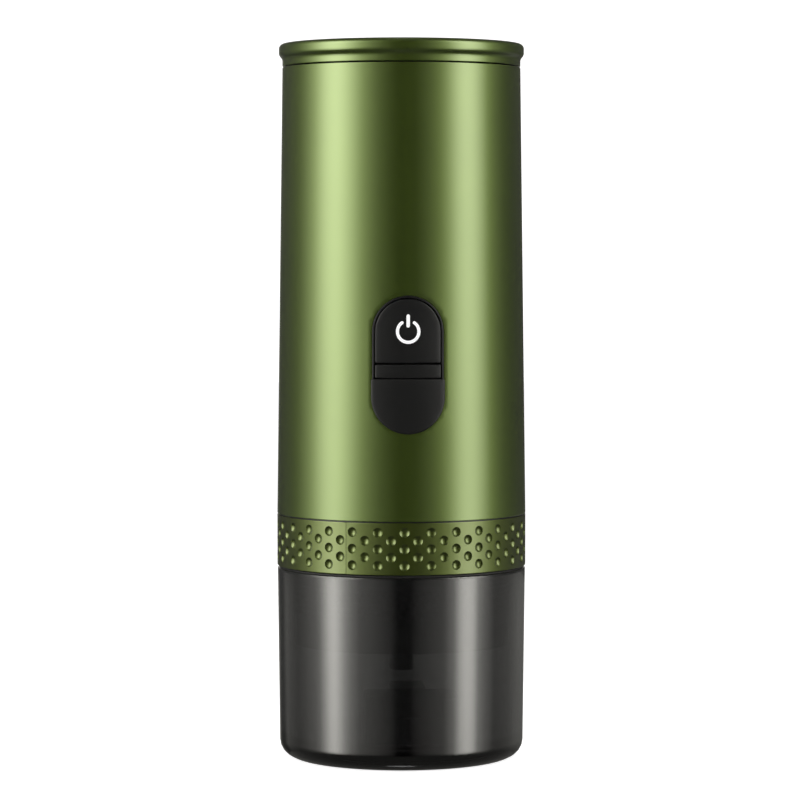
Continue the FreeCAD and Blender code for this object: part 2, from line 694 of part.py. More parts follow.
SWITCH_LEVEL = S.panel_high - S.panel_half
CAVITY_HALF = S.panel_half - S.panel_rim
INSERT_HALF = CAVITY_HALF - S.panel_gap
IN_SIDE = 180 - S.side_angle
BOARD_SCREW_LEVEL = LOW_DECK_TOP + S.post_height / 2
HEATER_PARTS = (
    ("temperature_sensor", S.sensor_radius, S.side_angle),
    ("thermal_fuse", S.fuse_radius, as_size(FRONT)),
)


def sleeve_radius(level):
    """The sleeve's outside at a level."""
    taper = (S.body_radius - S.top_radius) / S.sleeve_height
    return S.body_radius - taper * (level - SLEEVE_FOOT)


def sleeve_taper(name, offset, flats):
    """A solid that follows the sleeve's outside at an offset."""
    return tapered(name, [(S.body_radius + offset, SLEEVE_FOOT),
                          (S.top_radius + offset, SLEEVE_TOP)], flats)


# Cup

def make_cup():
    """The clear cup that the whole maker stands on."""
    floor_bore = S.foot_radius - S.cup_wall
    outside = tapered("cup_outside", [
        *rounded_corner(S.foot_radius, as_size(0), S.foot_round, True),
        (S.rim_radius, S.rim_height),
    ], S.shell_flats)
    inside = tapered("cup_inside", [
        (floor_bore - S.cup_cove, S.cup_floor),
        (floor_bore, S.cup_floor + S.cup_cove),
        (S.rim_bore, S.rim_height),
        (S.rim_bore, S.rim_height + OVERSHOOT),
    ], S.shell_flats)
    recess = tapered("cup_recess", [
        (S.foot_recess_radius, as_size(-OVERSHOOT)),
        (S.foot_recess_radius, S.foot_recess),
    ], S.shell_flats)
    node("cup", cut("cup_whole", outside, inside, recess))


def make_coffee_scoop():
    """The measuring scoop that is stowed in the cup."""
    left = S.scoop_shift - S.scoop_width / 2
    brim = S.cup_floor + S.scoop_height
    outside = block("scoop_outside", S.scoop_width, S.scoop_depth, S.cup_floor, brim,
                    left, -S.scoop_front, S.scoop_corner)
    inside = block("scoop_inside", S.scoop_width - S.scoop_wall * 2,
                   S.scoop_depth - S.scoop_wall * 2, S.cup_floor + S.scoop_wall,
                   brim + OVERSHOOT, left + S.scoop_wall, S.scoop_wall - S.scoop_front,
                   S.scoop_corner - S.scoop_wall)
    notch = box("scoop_notch",
                (S.scoop_shift - S.notch_width / 2, S.scoop_shift + S.notch_width / 2),
                (-S.scoop_front - OVERSHOOT, S.scoop_wall - S.scoop_front + OVERSHOOT),
                (brim - S.notch_depth, brim + OVERSHOOT))
    back = S.scoop_depth - S.scoop_front
    handle = box("scoop_handle",
                 (S.scoop_shift - S.handle_width / 2, S.scoop_shift + S.handle_width / 2),
                 (back - S.scoop_wall, back + S.handle_length),
                 (brim - S.handle_thickness, brim))
    bowl = cut("scoop_bowl", outside, inside, notch)
    node("coffee_scoop", fuse("scoop", bowl, handle))


# Brew head

def make_brew_barrel():
    """The black barrel that holds the coffee basket and hangs into the cup."""
    floor_top = S.barrel_foot + S.barrel_floor_thickness
    flange_foot = FLANGE_TOP - S.flange_height
    barrel = stepped("barrel", [
        (S.barrel_radius, S.barrel_foot, flange_foot),
        (S.barrel_radius + S.band_relief, flange_foot - S.band_height, flange_foot),
        (S.seal_radius, flange_foot, FLANGE_TOP),
        (S.neck_radius, FLANGE_TOP, NECK_TOP),
    ], [(S.cavity_radius, floor_top, NECK_TOP + OVERSHOOT)])
    stem_hole = rod("barrel_stem_hole", S.spout_stem, S.barrel_foot - OVERSHOOT,
                    floor_top + OVERSHOOT)
    node("brew_barrel", cut("barrel_whole", barrel, stem_hole))


def make_coffee_basket():
    """The steel basket for the ground coffee, with its perforated floor."""
    bore = S.basket_radius - S.basket_wall
    brim_top = NECK_TOP + S.basket_brim_thickness
    floor_top = BASKET_FOOT + S.basket_wall
    basket = stepped("basket", [
        (S.basket_radius, BASKET_FOOT, NECK_TOP),
        (S.basket_brim, NECK_TOP, brim_top),
    ], [(bore, floor_top, brim_top + OVERSHOOT)])
    node("coffee_basket", cut("basket_whole", basket, hole_rings(
        "basket_holes", BASKET_FOOT - OVERSHOOT, floor_top + OVERSHOOT)))


def hole_rings(name, foot, top):
    """Six-sided holes as one tool: one on the axis and a ring about it."""
    holes = [prism(name + "_middle", 6, S.hole_size, foot, top)]
    for index in range(6):
        x, y = polar(S.hole_pitch, 60 * index)
        holes.append(prism("%s_%d" % (name, index), 6, S.hole_size, foot, top, x, y))
    return group(name, holes)


def make_outlet_spout():
    """The spout under the barrel that the coffee leaves by."""
    collar_foot = S.barrel_foot - S.spout_collar_thickness
    tip = collar_foot - S.spout_length
    floor_top = S.barrel_foot + S.barrel_floor_thickness
    whole = fuse("spout_whole",
                 rod("spout_tube", S.spout_tip, tip, collar_foot),
                 rod("spout_collar_part", S.spout_collar, collar_foot, S.barrel_foot),
                 rod("spout_stem_part", S.spout_stem, S.barrel_foot, floor_top))
    node("outlet_spout", cut("spout", whole, rod("spout_hole", S.spout_bore, tip - OVERSHOOT,
                                                 floor_top + OVERSHOOT)))


def make_cup_seal():
    """The seal on the barrel's flange that grips the cup and shows as a dark seam."""
    skirt_foot = S.rim_height - S.seal_skirt
    node("cup_seal", stepped("seal", [
        (S.seal_radius + S.seal_wall, skirt_foot, S.rim_height),
        (S.rim_radius - S.seal_inset, S.rim_height, FLANGE_TOP),
    ], [(S.seal_radius, skirt_foot - OVERSHOOT, FLANGE_TOP + OVERSHOOT)]))


# Machine

def make_grip_ring():
    """The dimpled ring, the machine's gripping surface.

    Its outside is one flat for each column of dimples, so that each dimple's mouth is true.
    """
    flats = 2 * count_of(S.ring_columns)
    step = 360.0 / flats
    outside = prism("ring_flats", flats, S.body_radius, RING_FOOT, RING_TOP, turn=FRONT + step / 2)
    bore = prism("ring_bore", count_of(S.round_flats), S.body_radius - S.ring_wall,
                 RING_FOOT - OVERSHOOT, RING_TOP + OVERSHOOT)
    dimples = DOC.addObject("Part::Feature", "ring_dimples")
    dimples.Shape = Part.makeCompound(dimple_tools(flats, step))
    node("grip_ring", cut("ring", cut("ring_tube", outside, bore), dimples))


def dimple_tools(flats, step):
    """The tools that cut the dimples: columns of three and of two in turn."""
    face = S.body_radius.value * math.cos(math.radians(step / 2))
    middle = (RING_FOOT + S.ring_height / 2).value
    tool = dimple_tool()
    tools = []
    for column in range(flats):
        rows = (-1, 0, 1) if column % 2 == 0 else (-0.5, 0.5)
        turn = Placement(Vector(), Rotation(Vector(0, 0, 1), FRONT + step * column))
        for row in rows:
            copy = tool.copy()
            move = Placement(Vector(face, 0, middle + row * S.dimple_pitch.value), Rotation())
            copy.Placement = turn.multiply(move)
            tools.append(copy)
    return tools


def dimple_tool():
    """One dimple at the origin, sunk along -X and standing out a little along +X."""
    sides = count_of(S.dimple_sides)
    depth = S.dimple_depth.value
    proud = depth / 2
    radius = S.dimple_radius.value * (depth + proud) / depth
    tip = Vector(-depth, 0, 0)
    mouth = []
    for index in range(sides):
        angle = 2 * math.pi * (index + 0.5) / sides
        mouth.append(Vector(proud, radius * math.cos(angle), radius * math.sin(angle)))
    faces = [Part.Face(Part.makePolygon(mouth + mouth[:1]))]
    for first, second in zip(mouth, mouth[1:] + mouth[:1]):
        faces.append(Part.Face(Part.makePolygon([first, second, tip, first])))
    solid = Part.makeSolid(Part.makeShell(faces))
    if solid.Volume < 0:
        solid.reverse()
    return solid


def make_sleeve():
    """The tapered outer sleeve with the cut-out for the control panel."""
    body = cut("sleeve_body", sleeve_taper("sleeve_outside", as_size(0), S.shell_flats),
               sleeve_taper("sleeve_inside", -S.sleeve_wall, S.round_flats))
    half = S.panel_half + S.panel_fit
    opening = slab("sleeve_cutout", half, S.panel_low - S.panel_fit, S.panel_high + S.panel_fit,
                   as_size(OVERSHOOT), S.body_radius + OVERSHOOT)
    node("sleeve", cut("sleeve_cut", body, opening))


def make_brew_socket():
    """The socket that takes the brew head's neck and carries ring, sleeve and frame."""
    body = stepped("socket", [
        (S.socket_radius, SOCKET_FOOT, RING_TOP),
        (S.body_radius - S.socket_lip_inset, RING_TOP, SLEEVE_FOOT),
    ], [(S.socket_bore, SOCKET_FOOT - OVERSHOOT, SOCKET_CEILING)])
    holes = [rod("socket_stem_hole", S.nozzle_radius, SOCKET_CEILING - OVERSHOOT,
                 SLEEVE_FOOT + OVERSHOOT)]
    for index, (x, y) in enumerate(frame_screw_places()):
        holes.append(rod("socket_hole_%d" % index, S.screw_radius, LOW_DECK - S.screw_grip,
                         LOW_DECK + OVERSHOOT, x, y))
    node("brew_socket", cut("socket_whole", body, *holes))


def frame_screw_places():
    """Where the screws that hold the inner frame stand."""
    return [polar(S.frame_screw_ring, angle) for angle in (0, 180, FRONT)]


def make_head_gasket():
    """The gasket that seals the basket's brim under the socket's ceiling."""
    foot = SOCKET_CEILING - S.gasket_height
    node("head_gasket", stepped("gasket", [
        (S.basket_brim, foot, SOCKET_CEILING),
    ], [(S.gasket_bore, foot - OVERSHOOT, SOCKET_CEILING + OVERSHOOT)]))


def make_shower_plate():
    """The perforated plate, held in the gasket, that spreads the water over the coffee."""
    top = SOCKET_CEILING - S.plate_gap
    foot = top - S.plate_thickness
    disc = stepped("plate", [(S.gasket_bore, foot, top)])
    node("shower_plate", cut("plate_whole", disc, hole_rings(
        "plate_holes", foot - OVERSHOOT, top + OVERSHOOT)))


def make_inlet_nozzle():
    """The brass nozzle that brings the water through the socket's ceiling."""
    nut_top = LOW_DECK + S.nozzle_hex_height
    stub_top = nut_top + S.nozzle_stub_height
    whole = fuse("nozzle_whole",
                 rod("nozzle_stem", S.nozzle_radius, SOCKET_CEILING, LOW_DECK),
                 prism("nozzle_nut", 6, S.nozzle_hex, LOW_DECK, nut_top),
                 rod("nozzle_stub_part", S.nozzle_stub, nut_top, stub_top))
    bore = rod("nozzle_hole", S.nozzle_bore, SOCKET_CEILING - OVERSHOOT, stub_top + OVERSHOOT)
    node("inlet_nozzle", cut("nozzle", whole, bore))
    return stub_top


def make_inner_frame():
    """The frame inside the sleeve: two decks, two pillars, the pump's cradle, board posts."""
    sleeve_bore = sleeve_radius(HEATER_FOOT) - S.sleeve_wall
    pieces = [stepped("deck_low", [(S.body_radius - S.sleeve_wall - S.fit, LOW_DECK,
                                    LOW_DECK_TOP)]),
              stepped("deck_high", [(sleeve_bore - S.fit, HIGH_DECK, HEATER_FOOT)]),
              pillar("pillar_right", S.side_angle),
              pillar("pillar_left", IN_SIDE)]
    for side, inner, outer in (("left", -S.post_inner - S.post_width, -S.post_inner),
                               ("right", S.post_inner, S.post_inner + S.post_width)):
        along = (-S.board_back, S.post_depth - S.board_back)
        pieces.append(box("post_low_" + side, (inner, outer), along,
                          (LOW_DECK_TOP, LOW_DECK_TOP + S.post_height)))
        pieces.append(box("post_high_" + side, (inner, outer), along,
                          (HIGH_DECK - S.post_height, HIGH_DECK)))
    pieces.append(make_pump_cradle())
    whole = fuse("frame_whole", *pieces)
    tube_x, tube_y = polar(S.inlet_ring, IN_SIDE)
    below, above = LOW_DECK - OVERSHOOT, LOW_DECK_TOP + OVERSHOOT
    under, over = HIGH_DECK - OVERSHOOT, HEATER_FOOT + OVERSHOOT
    holes = [rod("frame_middle_hole", S.nozzle_hex + S.fit, below, above),
             rod("frame_tube_hole", S.inlet_tube_radius + S.fit, under, over, tube_x, tube_y)]
    for name, radius, angle in HEATER_PARTS:
        x, y = polar(S.sensor_ring, angle)
        holes.append(rod("frame_%s_hole" % name, radius + S.fit, under, over, x, y))
    holes.extend(board_screw_rods("frame_board_hole", S.board_back - S.board_screw_grip,
                                  S.board_back + OVERSHOOT))
    for index, (x, y) in enumerate(frame_screw_places()):
        holes.append(rod("frame_hole_%d" % index, S.screw_radius, below, above, x, y))
    node("inner_frame", cut("frame", whole, *holes))


def make_pump_cradle():
    """The short ring on the lower deck that the pump stands on, open towards the valve."""
    flats = count_of(S.rod_flats)
    cradle = cut("cradle_tube",
                 prism("cradle_out", flats, S.pump_radius, LOW_DECK_TOP, PUMP_FOOT),
                 prism("cradle_in", flats, S.pump_radius - S.cradle_wall,
                       LOW_DECK_TOP - OVERSHOOT, PUMP_FOOT + OVERSHOOT))
    gap = DOC.addObject("Part::Box", "cradle_slot")
    bind(gap, Length=S.pump_radius + OVERSHOOT, Width=S.cradle_gap,
         Height=S.cradle_height + OVERSHOOT)
    slot_x = S.cradle_gap / 2 * sine(S.side_angle)
    slot_y = -S.cradle_gap / 2 * cosine(S.side_angle)
    place(gap, slot_x, slot_y, LOW_DECK_TOP, Rotation(Vector(0, 0, 1), S.side_angle.value))
    return cut("cradle", cradle, gap)


def pillar(name, angle):
    """An upright pillar of the inner frame at an angle."""
    item = DOC.addObject("Part::Box", name)
    bind(item, Length=S.pillar_thickness, Width=S.pillar_width, Height=S.frame_height)
    x = S.pillar_radius * cosine(angle) + S.pillar_width / 2 * sine(angle)
    y = S.pillar_radius * sine(angle) - S.pillar_width / 2 * cosine(angle)
    return place(item, x, y, LOW_DECK_TOP, Rotation(Vector(0, 0, 1), angle.value))


def make_frame_screws():
    """The three screws that hold the frame and socket together."""
    screws = []
    for index, (x, y) in enumerate(frame_screw_places()):
        shank = rod("frame_shank_%d" % index, S.screw_radius, LOW_DECK - S.screw_grip,
                    LOW_DECK_TOP, x, y)
        head = prism("frame_head_%d" % index, 6, S.screw_head, LOW_DECK_TOP,
                     LOW_DECK_TOP + S.screw_head_height, x, y)
        screws.append(fuse("frame_screw_%d" % index, shank, head))
    node("frame_screws", group("screws_of_frame", screws))


def make_battery_cells():
    """Three battery cells, standing between the decks."""
    foot = LOW_DECK_TOP + S.tab_thickness
    top = HIGH_DECK - S.tab_thickness - S.cell_nub_height
    cells = []
    for direction in CELL_DIRECTIONS:
        x, y = polar(S.cell_ring, direction)
        can = prism("cell_can_%d" % direction, 2 * count_of(S.rod_flats), S.cell_radius, foot,
                    top, x, y)
        nub = rod("cell_end_%d" % direction, S.cell_nub, top, HIGH_DECK - S.tab_thickness, x, y)
        cells.append(fuse("cell_%d" % direction, can, nub))
    node("battery_cells", group("cells", cells))


def make_cell_tabs():
    """The two tabs that join the cells, one under them and one above."""
    reach = S.cell_ring * sine(60) * 2
    tabs = []
    for index, (angle, ring, foot) in enumerate((
            (150, S.tab_ring, LOW_DECK_TOP),
            (FRONT, S.cell_ring * cosine(60), HIGH_DECK - S.tab_thickness))):
        item = DOC.addObject("Part::Box", "tab_%d" % index)
        bind(item, Length=S.tab_width, Width=reach, Height=S.tab_thickness)
        across = ring - S.tab_width / 2
        x = across * cosine(angle) + reach / 2 * sine(angle)
        y = across * sine(angle) - reach / 2 * cosine(angle)
        tabs.append(place(item, x, y, foot, Rotation(Vector(0, 0, 1), angle)))
    node("cell_tabs", group("tabs", tabs))


def make_pump_head():
    """The pump head: a block with a chamber for the eccentric and a bore for the plunger."""
    level = PUMP_TOP - S.chamber_depth / 2
    inlet_level = PUMP_FOOT + S.inlet_height
    whole = fuse("pump_whole",
                 prism("pump_block", 2 * count_of(S.rod_flats), S.pump_radius, PUMP_FOOT,
                       PUMP_TOP),
                 radial_rod("pump_inlet", S.port_radius, S.pump_radius - OVERSHOOT,
                            S.pump_radius + S.inlet_reach, IN_SIDE, inlet_level))
    rooms = fuse("pump_rooms",
                 rod("pump_chamber", S.chamber_radius, PUMP_TOP - S.chamber_depth,
                     PUMP_TOP + OVERSHOOT),
                 radial_rod("pump_spring_room", S.plunger_head + S.fit,
                            S.chamber_radius - OVERSHOOT, S.spring_end, S.side_angle, level),
                 radial_rod("pump_bore", S.plunger_radius + S.plunger_play,
                            S.chamber_radius - OVERSHOOT, S.plunger_end + S.fit, S.side_angle,
                            level))
    node("pump_head", cut("pump", whole, rooms))


def make_pump_plunger():
    """The plunger that the eccentric pushes, and the spring that returns it."""
    level = PUMP_TOP - S.chamber_depth / 2
    head_end = S.plunger_start + S.plunger_head_thickness
    head = radial_rod("plunger_head_part", S.plunger_head, S.plunger_start, head_end,
                      S.side_angle, level)
    stem = radial_rod("plunger_stem", S.plunger_radius, head_end, S.plunger_end,
                      S.side_angle, level)
    node("pump_plunger", fuse("plunger", head, stem))
    outside = radial_rod("spring_outside", S.plunger_radius + S.plunger_play + S.spring_wire,
                         head_end, S.spring_end, S.side_angle, level)
    inside = radial_rod("spring_inside", S.plunger_radius + S.plunger_play,
                        head_end - OVERSHOOT, S.spring_end + OVERSHOOT, S.side_angle, level)
    node("plunger_spring", cut("spring", outside, inside))


def make_pump_motor():
    """The motor can that stands on the pump head."""
    can_top = PUMP_TOP + S.motor_height
    hub_top = can_top + S.motor_hub_height
    whole = fuse("motor_whole",
                 prism("motor_can", 2 * count_of(S.rod_flats), S.motor_radius, PUMP_TOP, can_top),
                 rod("motor_hub_part", S.motor_hub, can_top, hub_top))
    bore = rod("motor_bore", S.shaft_bore, PUMP_TOP - OVERSHOOT, hub_top + OVERSHOOT)
    node("pump_motor", cut("motor", whole, bore))


def make_rotor():
    """The motor's shaft and the eccentric on it, which turn together."""
    middle = PUMP_TOP - S.chamber_depth / 2
    foot = middle - S.eccentric_height / 2
    top = middle + S.eccentric_height / 2
    shaft_top = PUMP_TOP + S.motor_height + S.motor_hub_height
    node("motor_shaft", rod("shaft", S.shaft_radius, foot, shaft_top))
    disc = rod("eccentric_disc", S.eccentric_radius, foot, top, S.eccentric_throw, 0)
    hole = rod("eccentric_hole", S.shaft_radius, foot - OVERSHOOT, top + OVERSHOOT)
    node("pump_eccentric", cut("eccentric", disc, hole))


def make_check_valve():
    """The one-way valve beside the pump, with its port to the pump."""
    x, y = polar(S.valve_ring, S.side_angle)
    foot = LOW_DECK_TOP + S.valve_foot
    can = rod("valve_can", S.valve_radius, foot, foot + S.valve_height, x, y)
    port = radial_rod("valve_port", S.port_radius, S.pump_radius, S.valve_ring,
                      S.side_angle, PUMP_FOOT + S.port_height)
    node("check_valve", fuse("valve", can, port))


def make_tubes(stub_top):
    """The tube from the tank to the pump, and the tube from the valve to the nozzle."""
    run_level = stub_top + S.bend
    valve_x, valve_y = polar(S.valve_ring, S.side_angle)
    node("outlet_tube", bent_rod("tube_out", [
        (0, 0, stub_top),
        (0, 0, run_level),
        (valve_x, valve_y, run_level),
        (valve_x, valve_y, LOW_DECK_TOP + S.valve_foot),
    ], S.outlet_tube_radius))
    tube_x, tube_y = polar(S.inlet_ring, IN_SIDE)
    port_x, port_y = polar(S.pump_radius + S.inlet_reach, IN_SIDE)
    level = PUMP_FOOT + S.inlet_height
    node("inlet_tube", bent_rod("tube_in", [
        (tube_x, tube_y, HIGH_DECK + OVERSHOOT),
        (tube_x, tube_y, level),
        (port_x, port_y, level),
    ], S.inlet_tube_radius))


def make_heater():
    """The heater plate under the tank, its temperature sensor and its thermal fuse."""
    tube_x, tube_y = polar(S.inlet_ring, IN_SIDE)
    plate = stepped("heater_plate", [(S.heater_radius, HEATER_FOOT, TANK_FLOOR)])
    hole = rod("heater_hole", S.inlet_tube_radius + S.fit, HEATER_FOOT - OVERSHOOT,
               TANK_FLOOR + OVERSHOOT, tube_x, tube_y)
    node("heater", cut("heater_cut", plate, hole))
    for name, radius, angle in HEATER_PARTS:
        x, y = polar(S.sensor_ring, angle)
        node(name, rod(name + "_can", radius, HIGH_DECK, HEATER_FOOT, x, y))


def make_water_tank():
    """The steel water tank with its drain spigot."""
    shell = stepped("tank", [
        (S.tank_radius, TANK_FLOOR, TANK_TOP - S.tank_wall),
        (S.tank_brim, TANK_TOP - S.tank_wall, TANK_TOP),
    ], [(S.tank_bore, TANK_FLOOR + S.tank_wall, TANK_TOP + OVERSHOOT)])
    x, y = polar(S.inlet_ring, IN_SIDE)
    spigot_foot = HIGH_DECK + OVERSHOOT
    spigot = rod("tank_spigot", S.inlet_tube_radius, spigot_foot, TANK_FLOOR, x, y)
    drain = rod("tank_drain", S.nozzle_bore, spigot_foot - OVERSHOOT,
                TANK_FLOOR + S.tank_wall + OVERSHOOT, x, y)
    node("water_tank", cut("tank_whole", fuse("tank_spigoted", shell, spigot), drain))


def make_tank_mouth():
    """The gasket on the tank's brim and the collar above it, which takes the lid's plug."""
    node("tank_gasket", stepped("mouth_gasket", [
        (S.tank_brim, TANK_TOP, COLLAR_FOOT),
    ], [(S.tank_bore + S.gasket_inset, TANK_TOP - OVERSHOOT, COLLAR_FOOT + OVERSHOOT)]))
    node("tank_collar", stepped("collar", [
        (S.top_radius - S.sleeve_wall - S.fit, COLLAR_FOOT, SLEEVE_TOP),
    ], [(S.tank_bore, COLLAR_FOOT - OVERSHOOT, SLEEVE_TOP + OVERSHOOT)]))


def make_circuit_board():
    """The circuit board behind the panel, with the two screws that hold it to its posts."""
    foot = LOW_DECK_TOP + S.board_lift
    plate = box("board_plate", (-S.board_width / 2, S.board_width / 2),
                (-BOARD_FRONT, -S.board_back), (foot, foot + S.board_height))
    node("circuit_board", cut("board", plate, *board_screw_rods(
        "board_hole", S.board_back - OVERSHOOT, BOARD_FRONT + OVERSHOOT)))
    shanks = board_screw_rods("board_shank", S.board_back - S.board_screw_grip, BOARD_FRONT)
    screws = []
    for index, (shank, across) in enumerate(zip(shanks, board_screw_sides())):
        head = forward_rod("board_head_%d" % index, S.screw_head, BOARD_FRONT,
                           BOARD_FRONT + S.screw_head_height, BOARD_SCREW_LEVEL, across)
        screws.append(fuse("board_screw_%d" % index, head, shank))
    node("board_screws", group("screws_of_board", screws))


def board_screw_sides():
    """How far to either side the board's screws stand."""
    middle = S.post_inner + S.post_width / 2
    return (-middle, middle)


def board_screw_rods(name, near, far):
    """Two rods where the board's screws run."""
    return [forward_rod("%s_%d" % (name, index), S.screw_radius, near, far, BOARD_SCREW_LEVEL,
                        across) for index, across in enumerate(board_screw_sides())]


def make_tact_switch():
    """The tact switch on the board behind the button."""
    half = S.switch_size / 2
    front = BOARD_FRONT + S.switch_depth
    can = box("switch_can", (-half, half), (-front, -BOARD_FRONT),
              (SWITCH_LEVEL - half, SWITCH_LEVEL + half))
    mouth = forward_rod("switch_mouth", S.switch_bore, front - S.switch_bore_depth,
                        front + OVERSHOOT, SWITCH_LEVEL)
    node("tact_switch", cut("switch", can, mouth))


def make_usb_socket():
    """The charging socket on the board, with its tongue."""
    half = S.usb_height / 2
    shell = lying_slab("usb_shell", half, S.usb_width, S.usb_level, BOARD_FRONT, S.usb_front)
    mouth = lying_slab("usb_mouth", half - S.usb_wall, S.usb_width - S.usb_wall * 2, S.usb_level,
                       S.usb_front - S.usb_depth, S.usb_front + OVERSHOOT)
    thick = S.tongue_thickness / 2
    tongue = box("usb_tongue", (-S.tongue_width / 2, S.tongue_width / 2),
                 (S.tongue_back - S.usb_front, S.usb_depth - S.usb_front + OVERSHOOT),
                 (S.usb_level - thick, S.usb_level + thick))
    node("usb_socket", fuse("usb", cut("usb_open", shell, mouth), tongue))


# Control panel

def make_control_bezel():
    """The black bezel in the sleeve's cut-out: a thin rim on a floor with a flange."""
    floor_back = S.panel_floor - S.panel_floor_thickness
    wide = S.panel_half + S.panel_flange
    flange = box("bezel_flange", (-wide, wide), (-S.panel_floor, -floor_back),
                 (S.panel_low - S.panel_flange, S.panel_high + S.panel_flange))
    rim = common("bezel_rim",
                 slab("bezel_block", S.panel_half, S.panel_low, S.panel_high, floor_back,
                      S.body_radius + OVERSHOOT),
                 sleeve_taper("bezel_taper", as_size(0), S.shell_flats))
    cavity = slab("bezel_cavity", CAVITY_HALF, S.panel_low + S.panel_rim,
                  S.panel_high - S.panel_rim, S.panel_floor, S.body_radius + OVERSHOOT)
    half = S.usb_height / 2 + S.fit
    socket_hole = lying_slab("bezel_usb_hole", half, S.usb_width + S.fit * 2, S.usb_level,
                             floor_back - OVERSHOOT, S.panel_floor + OVERSHOOT)
    post_hole = forward_rod("bezel_post_hole", S.post_radius + S.post_play,
                            floor_back - OVERSHOOT, S.panel_floor + OVERSHOOT, SWITCH_LEVEL)
    rooms = fuse("bezel_rooms", cavity, socket_hole, post_hole)
    node("control_bezel", cut("bezel", fuse("bezel_whole", flange, rim), rooms))


def insert_slab(name, near):
    """The stadium that fills the bezel's rim with its gap, from a distance forward."""
    inset = S.panel_rim + S.panel_gap
    return slab(name, INSERT_HALF, S.panel_low + inset, S.panel_high - inset, near,
                S.body_radius + OVERSHOOT)


def level_box(name, foot, top):
    """A wide box between two levels, to keep one length of the panel."""
    wide = S.body_radius + OVERSHOOT
    return box(name, (-wide, wide), (-wide, as_size(0)), (foot, top))


def make_hinge_strap():
    """The fixed strap of the port cover, above its living hinge."""
    face = common("strap_face", insert_slab("strap_slab", S.panel_floor),
                  sleeve_taper("strap_taper", S.strap_proud, S.shell_flats))
    node("port_cover_strap", common("strap", face, level_box(
        "strap_levels", S.hinge_level + S.hinge_gap, S.button_foot - S.split_gap)))


def symbol_tool(name, near):
    """The power symbol as a tool that runs forward from a distance."""
    far = S.body_radius + OVERSHOOT
    flats = count_of(S.round_flats)
    ring = cut(name + "_ring",
               forward_prism(name + "_out", flats, S.symbol_radius + S.symbol_stroke / 2, near,
                             far, S.symbol_level),
               forward_prism(name + "_in", flats, S.symbol_radius - S.symbol_stroke / 2,
                             near - OVERSHOOT, far + OVERSHOOT, S.symbol_level))
    half = S.symbol_opening / 2
    opening = box(name + "_opening", (-half, half), (-far - OVERSHOOT, OVERSHOOT - near),
                  (S.symbol_level, S.symbol_level + S.symbol_radius * 2))
    bar_foot = S.symbol_level + S.symbol_bar_foot
    bar_half = S.symbol_bar_width / 2
    bar = box(name + "_bar", (-bar_half, bar_half), (-far, -near),
              (bar_foot, bar_foot + S.symbol_bar_height))
    return group(name, [cut(name + "_open_ring", ring, opening), bar])


def make_button():
    """The button cap with its post, its power symbol, and the switch plunger behind it."""
    back = S.panel_floor + S.button_travel + S.button_spare
    plunger_front = S.panel_floor - S.panel_floor_thickness + S.button_spare
    face = common("button_face", insert_slab("button_slab", back),
                  sleeve_taper("button_taper", -S.button_inset, S.shell_flats))
    cap = common("button_block", face, level_box(
        "button_levels", S.button_foot + S.split_gap, S.panel_high))
    post = forward_rod("button_post", S.post_radius, plunger_front, back, SWITCH_LEVEL)
    bed = sleeve_radius(S.symbol_level) - S.button_inset - S.symbol_depth
    node("button_cap", cut("button", fuse("button_whole", cap, post),
                           symbol_tool("symbol_bed", bed)))
    node("power_symbol", common("symbol", symbol_tool("symbol_blank", bed),
                                sleeve_taper("symbol_taper", -S.button_inset,
                                             S.shell_flats)))
    tip = BOARD_FRONT + S.switch_depth - S.switch_bore_depth + S.button_travel + S.fit
    node("switch_plunger", forward_rod("plunger_pin", S.switch_plunger, tip, plunger_front,
                                       SWITCH_LEVEL))


def make_port_cover():
    """The flap over the charging socket: a skin over the rim and a plug inside it."""
    top = S.hinge_level - S.hinge_gap
    cover_high = S.cover_low + S.cover_half * 2 + S.panel_half
    near = sleeve_radius(S.hinge_level) - S.cover_depth
    skin = cut("cover_skin",
               common("cover_skin_face",
                      slab("cover_skin_slab", S.cover_half, S.cover_low, cover_high,
                           S.panel_floor, S.body_radius + OVERSHOOT),
                      sleeve_taper("cover_skin_taper", S.cover_proud, S.shell_flats)),
               sleeve_taper("cover_lift_taper", S.cover_lift, S.shell_flats))
    inset = S.panel_rim + S.cover_play
    plug = common("cover_plug",
                  slab("cover_plug_slab", S.panel_half - inset, S.panel_low + inset,
                       S.panel_high - inset, near, S.body_radius + OVERSHOOT),
                  sleeve_taper("cover_plug_taper", S.cover_proud, S.shell_flats))
    node("port_cover_flap", common("cover", fuse("cover_whole", skin, plug),
                                   level_box("cover_levels", S.cover_low - OVERSHOOT, top)))


# Lid

def make_lid_cap():
    """The lid's outside: a plate with a lip over a plain skirt, with a cove between."""
    cap = tapered("lid_outside", [
        (S.top_radius, LID_FOOT),
        (S.top_radius, LIP_FOOT - S.lid_cove),
        (S.lid_radius, LIP_FOOT),
        *rounded_corner(S.lid_radius, LID_TOP, S.lid_round, False),
    ], S.shell_flats)
    room = stepped("lid_room", [(S.tank_bore - S.plug_play - S.plug_wall, LID_FOOT - OVERSHOOT,
                                 LID_TOP - S.lid_plate)])
    node("lid_cap", cut("lid_hollow", cap, room))


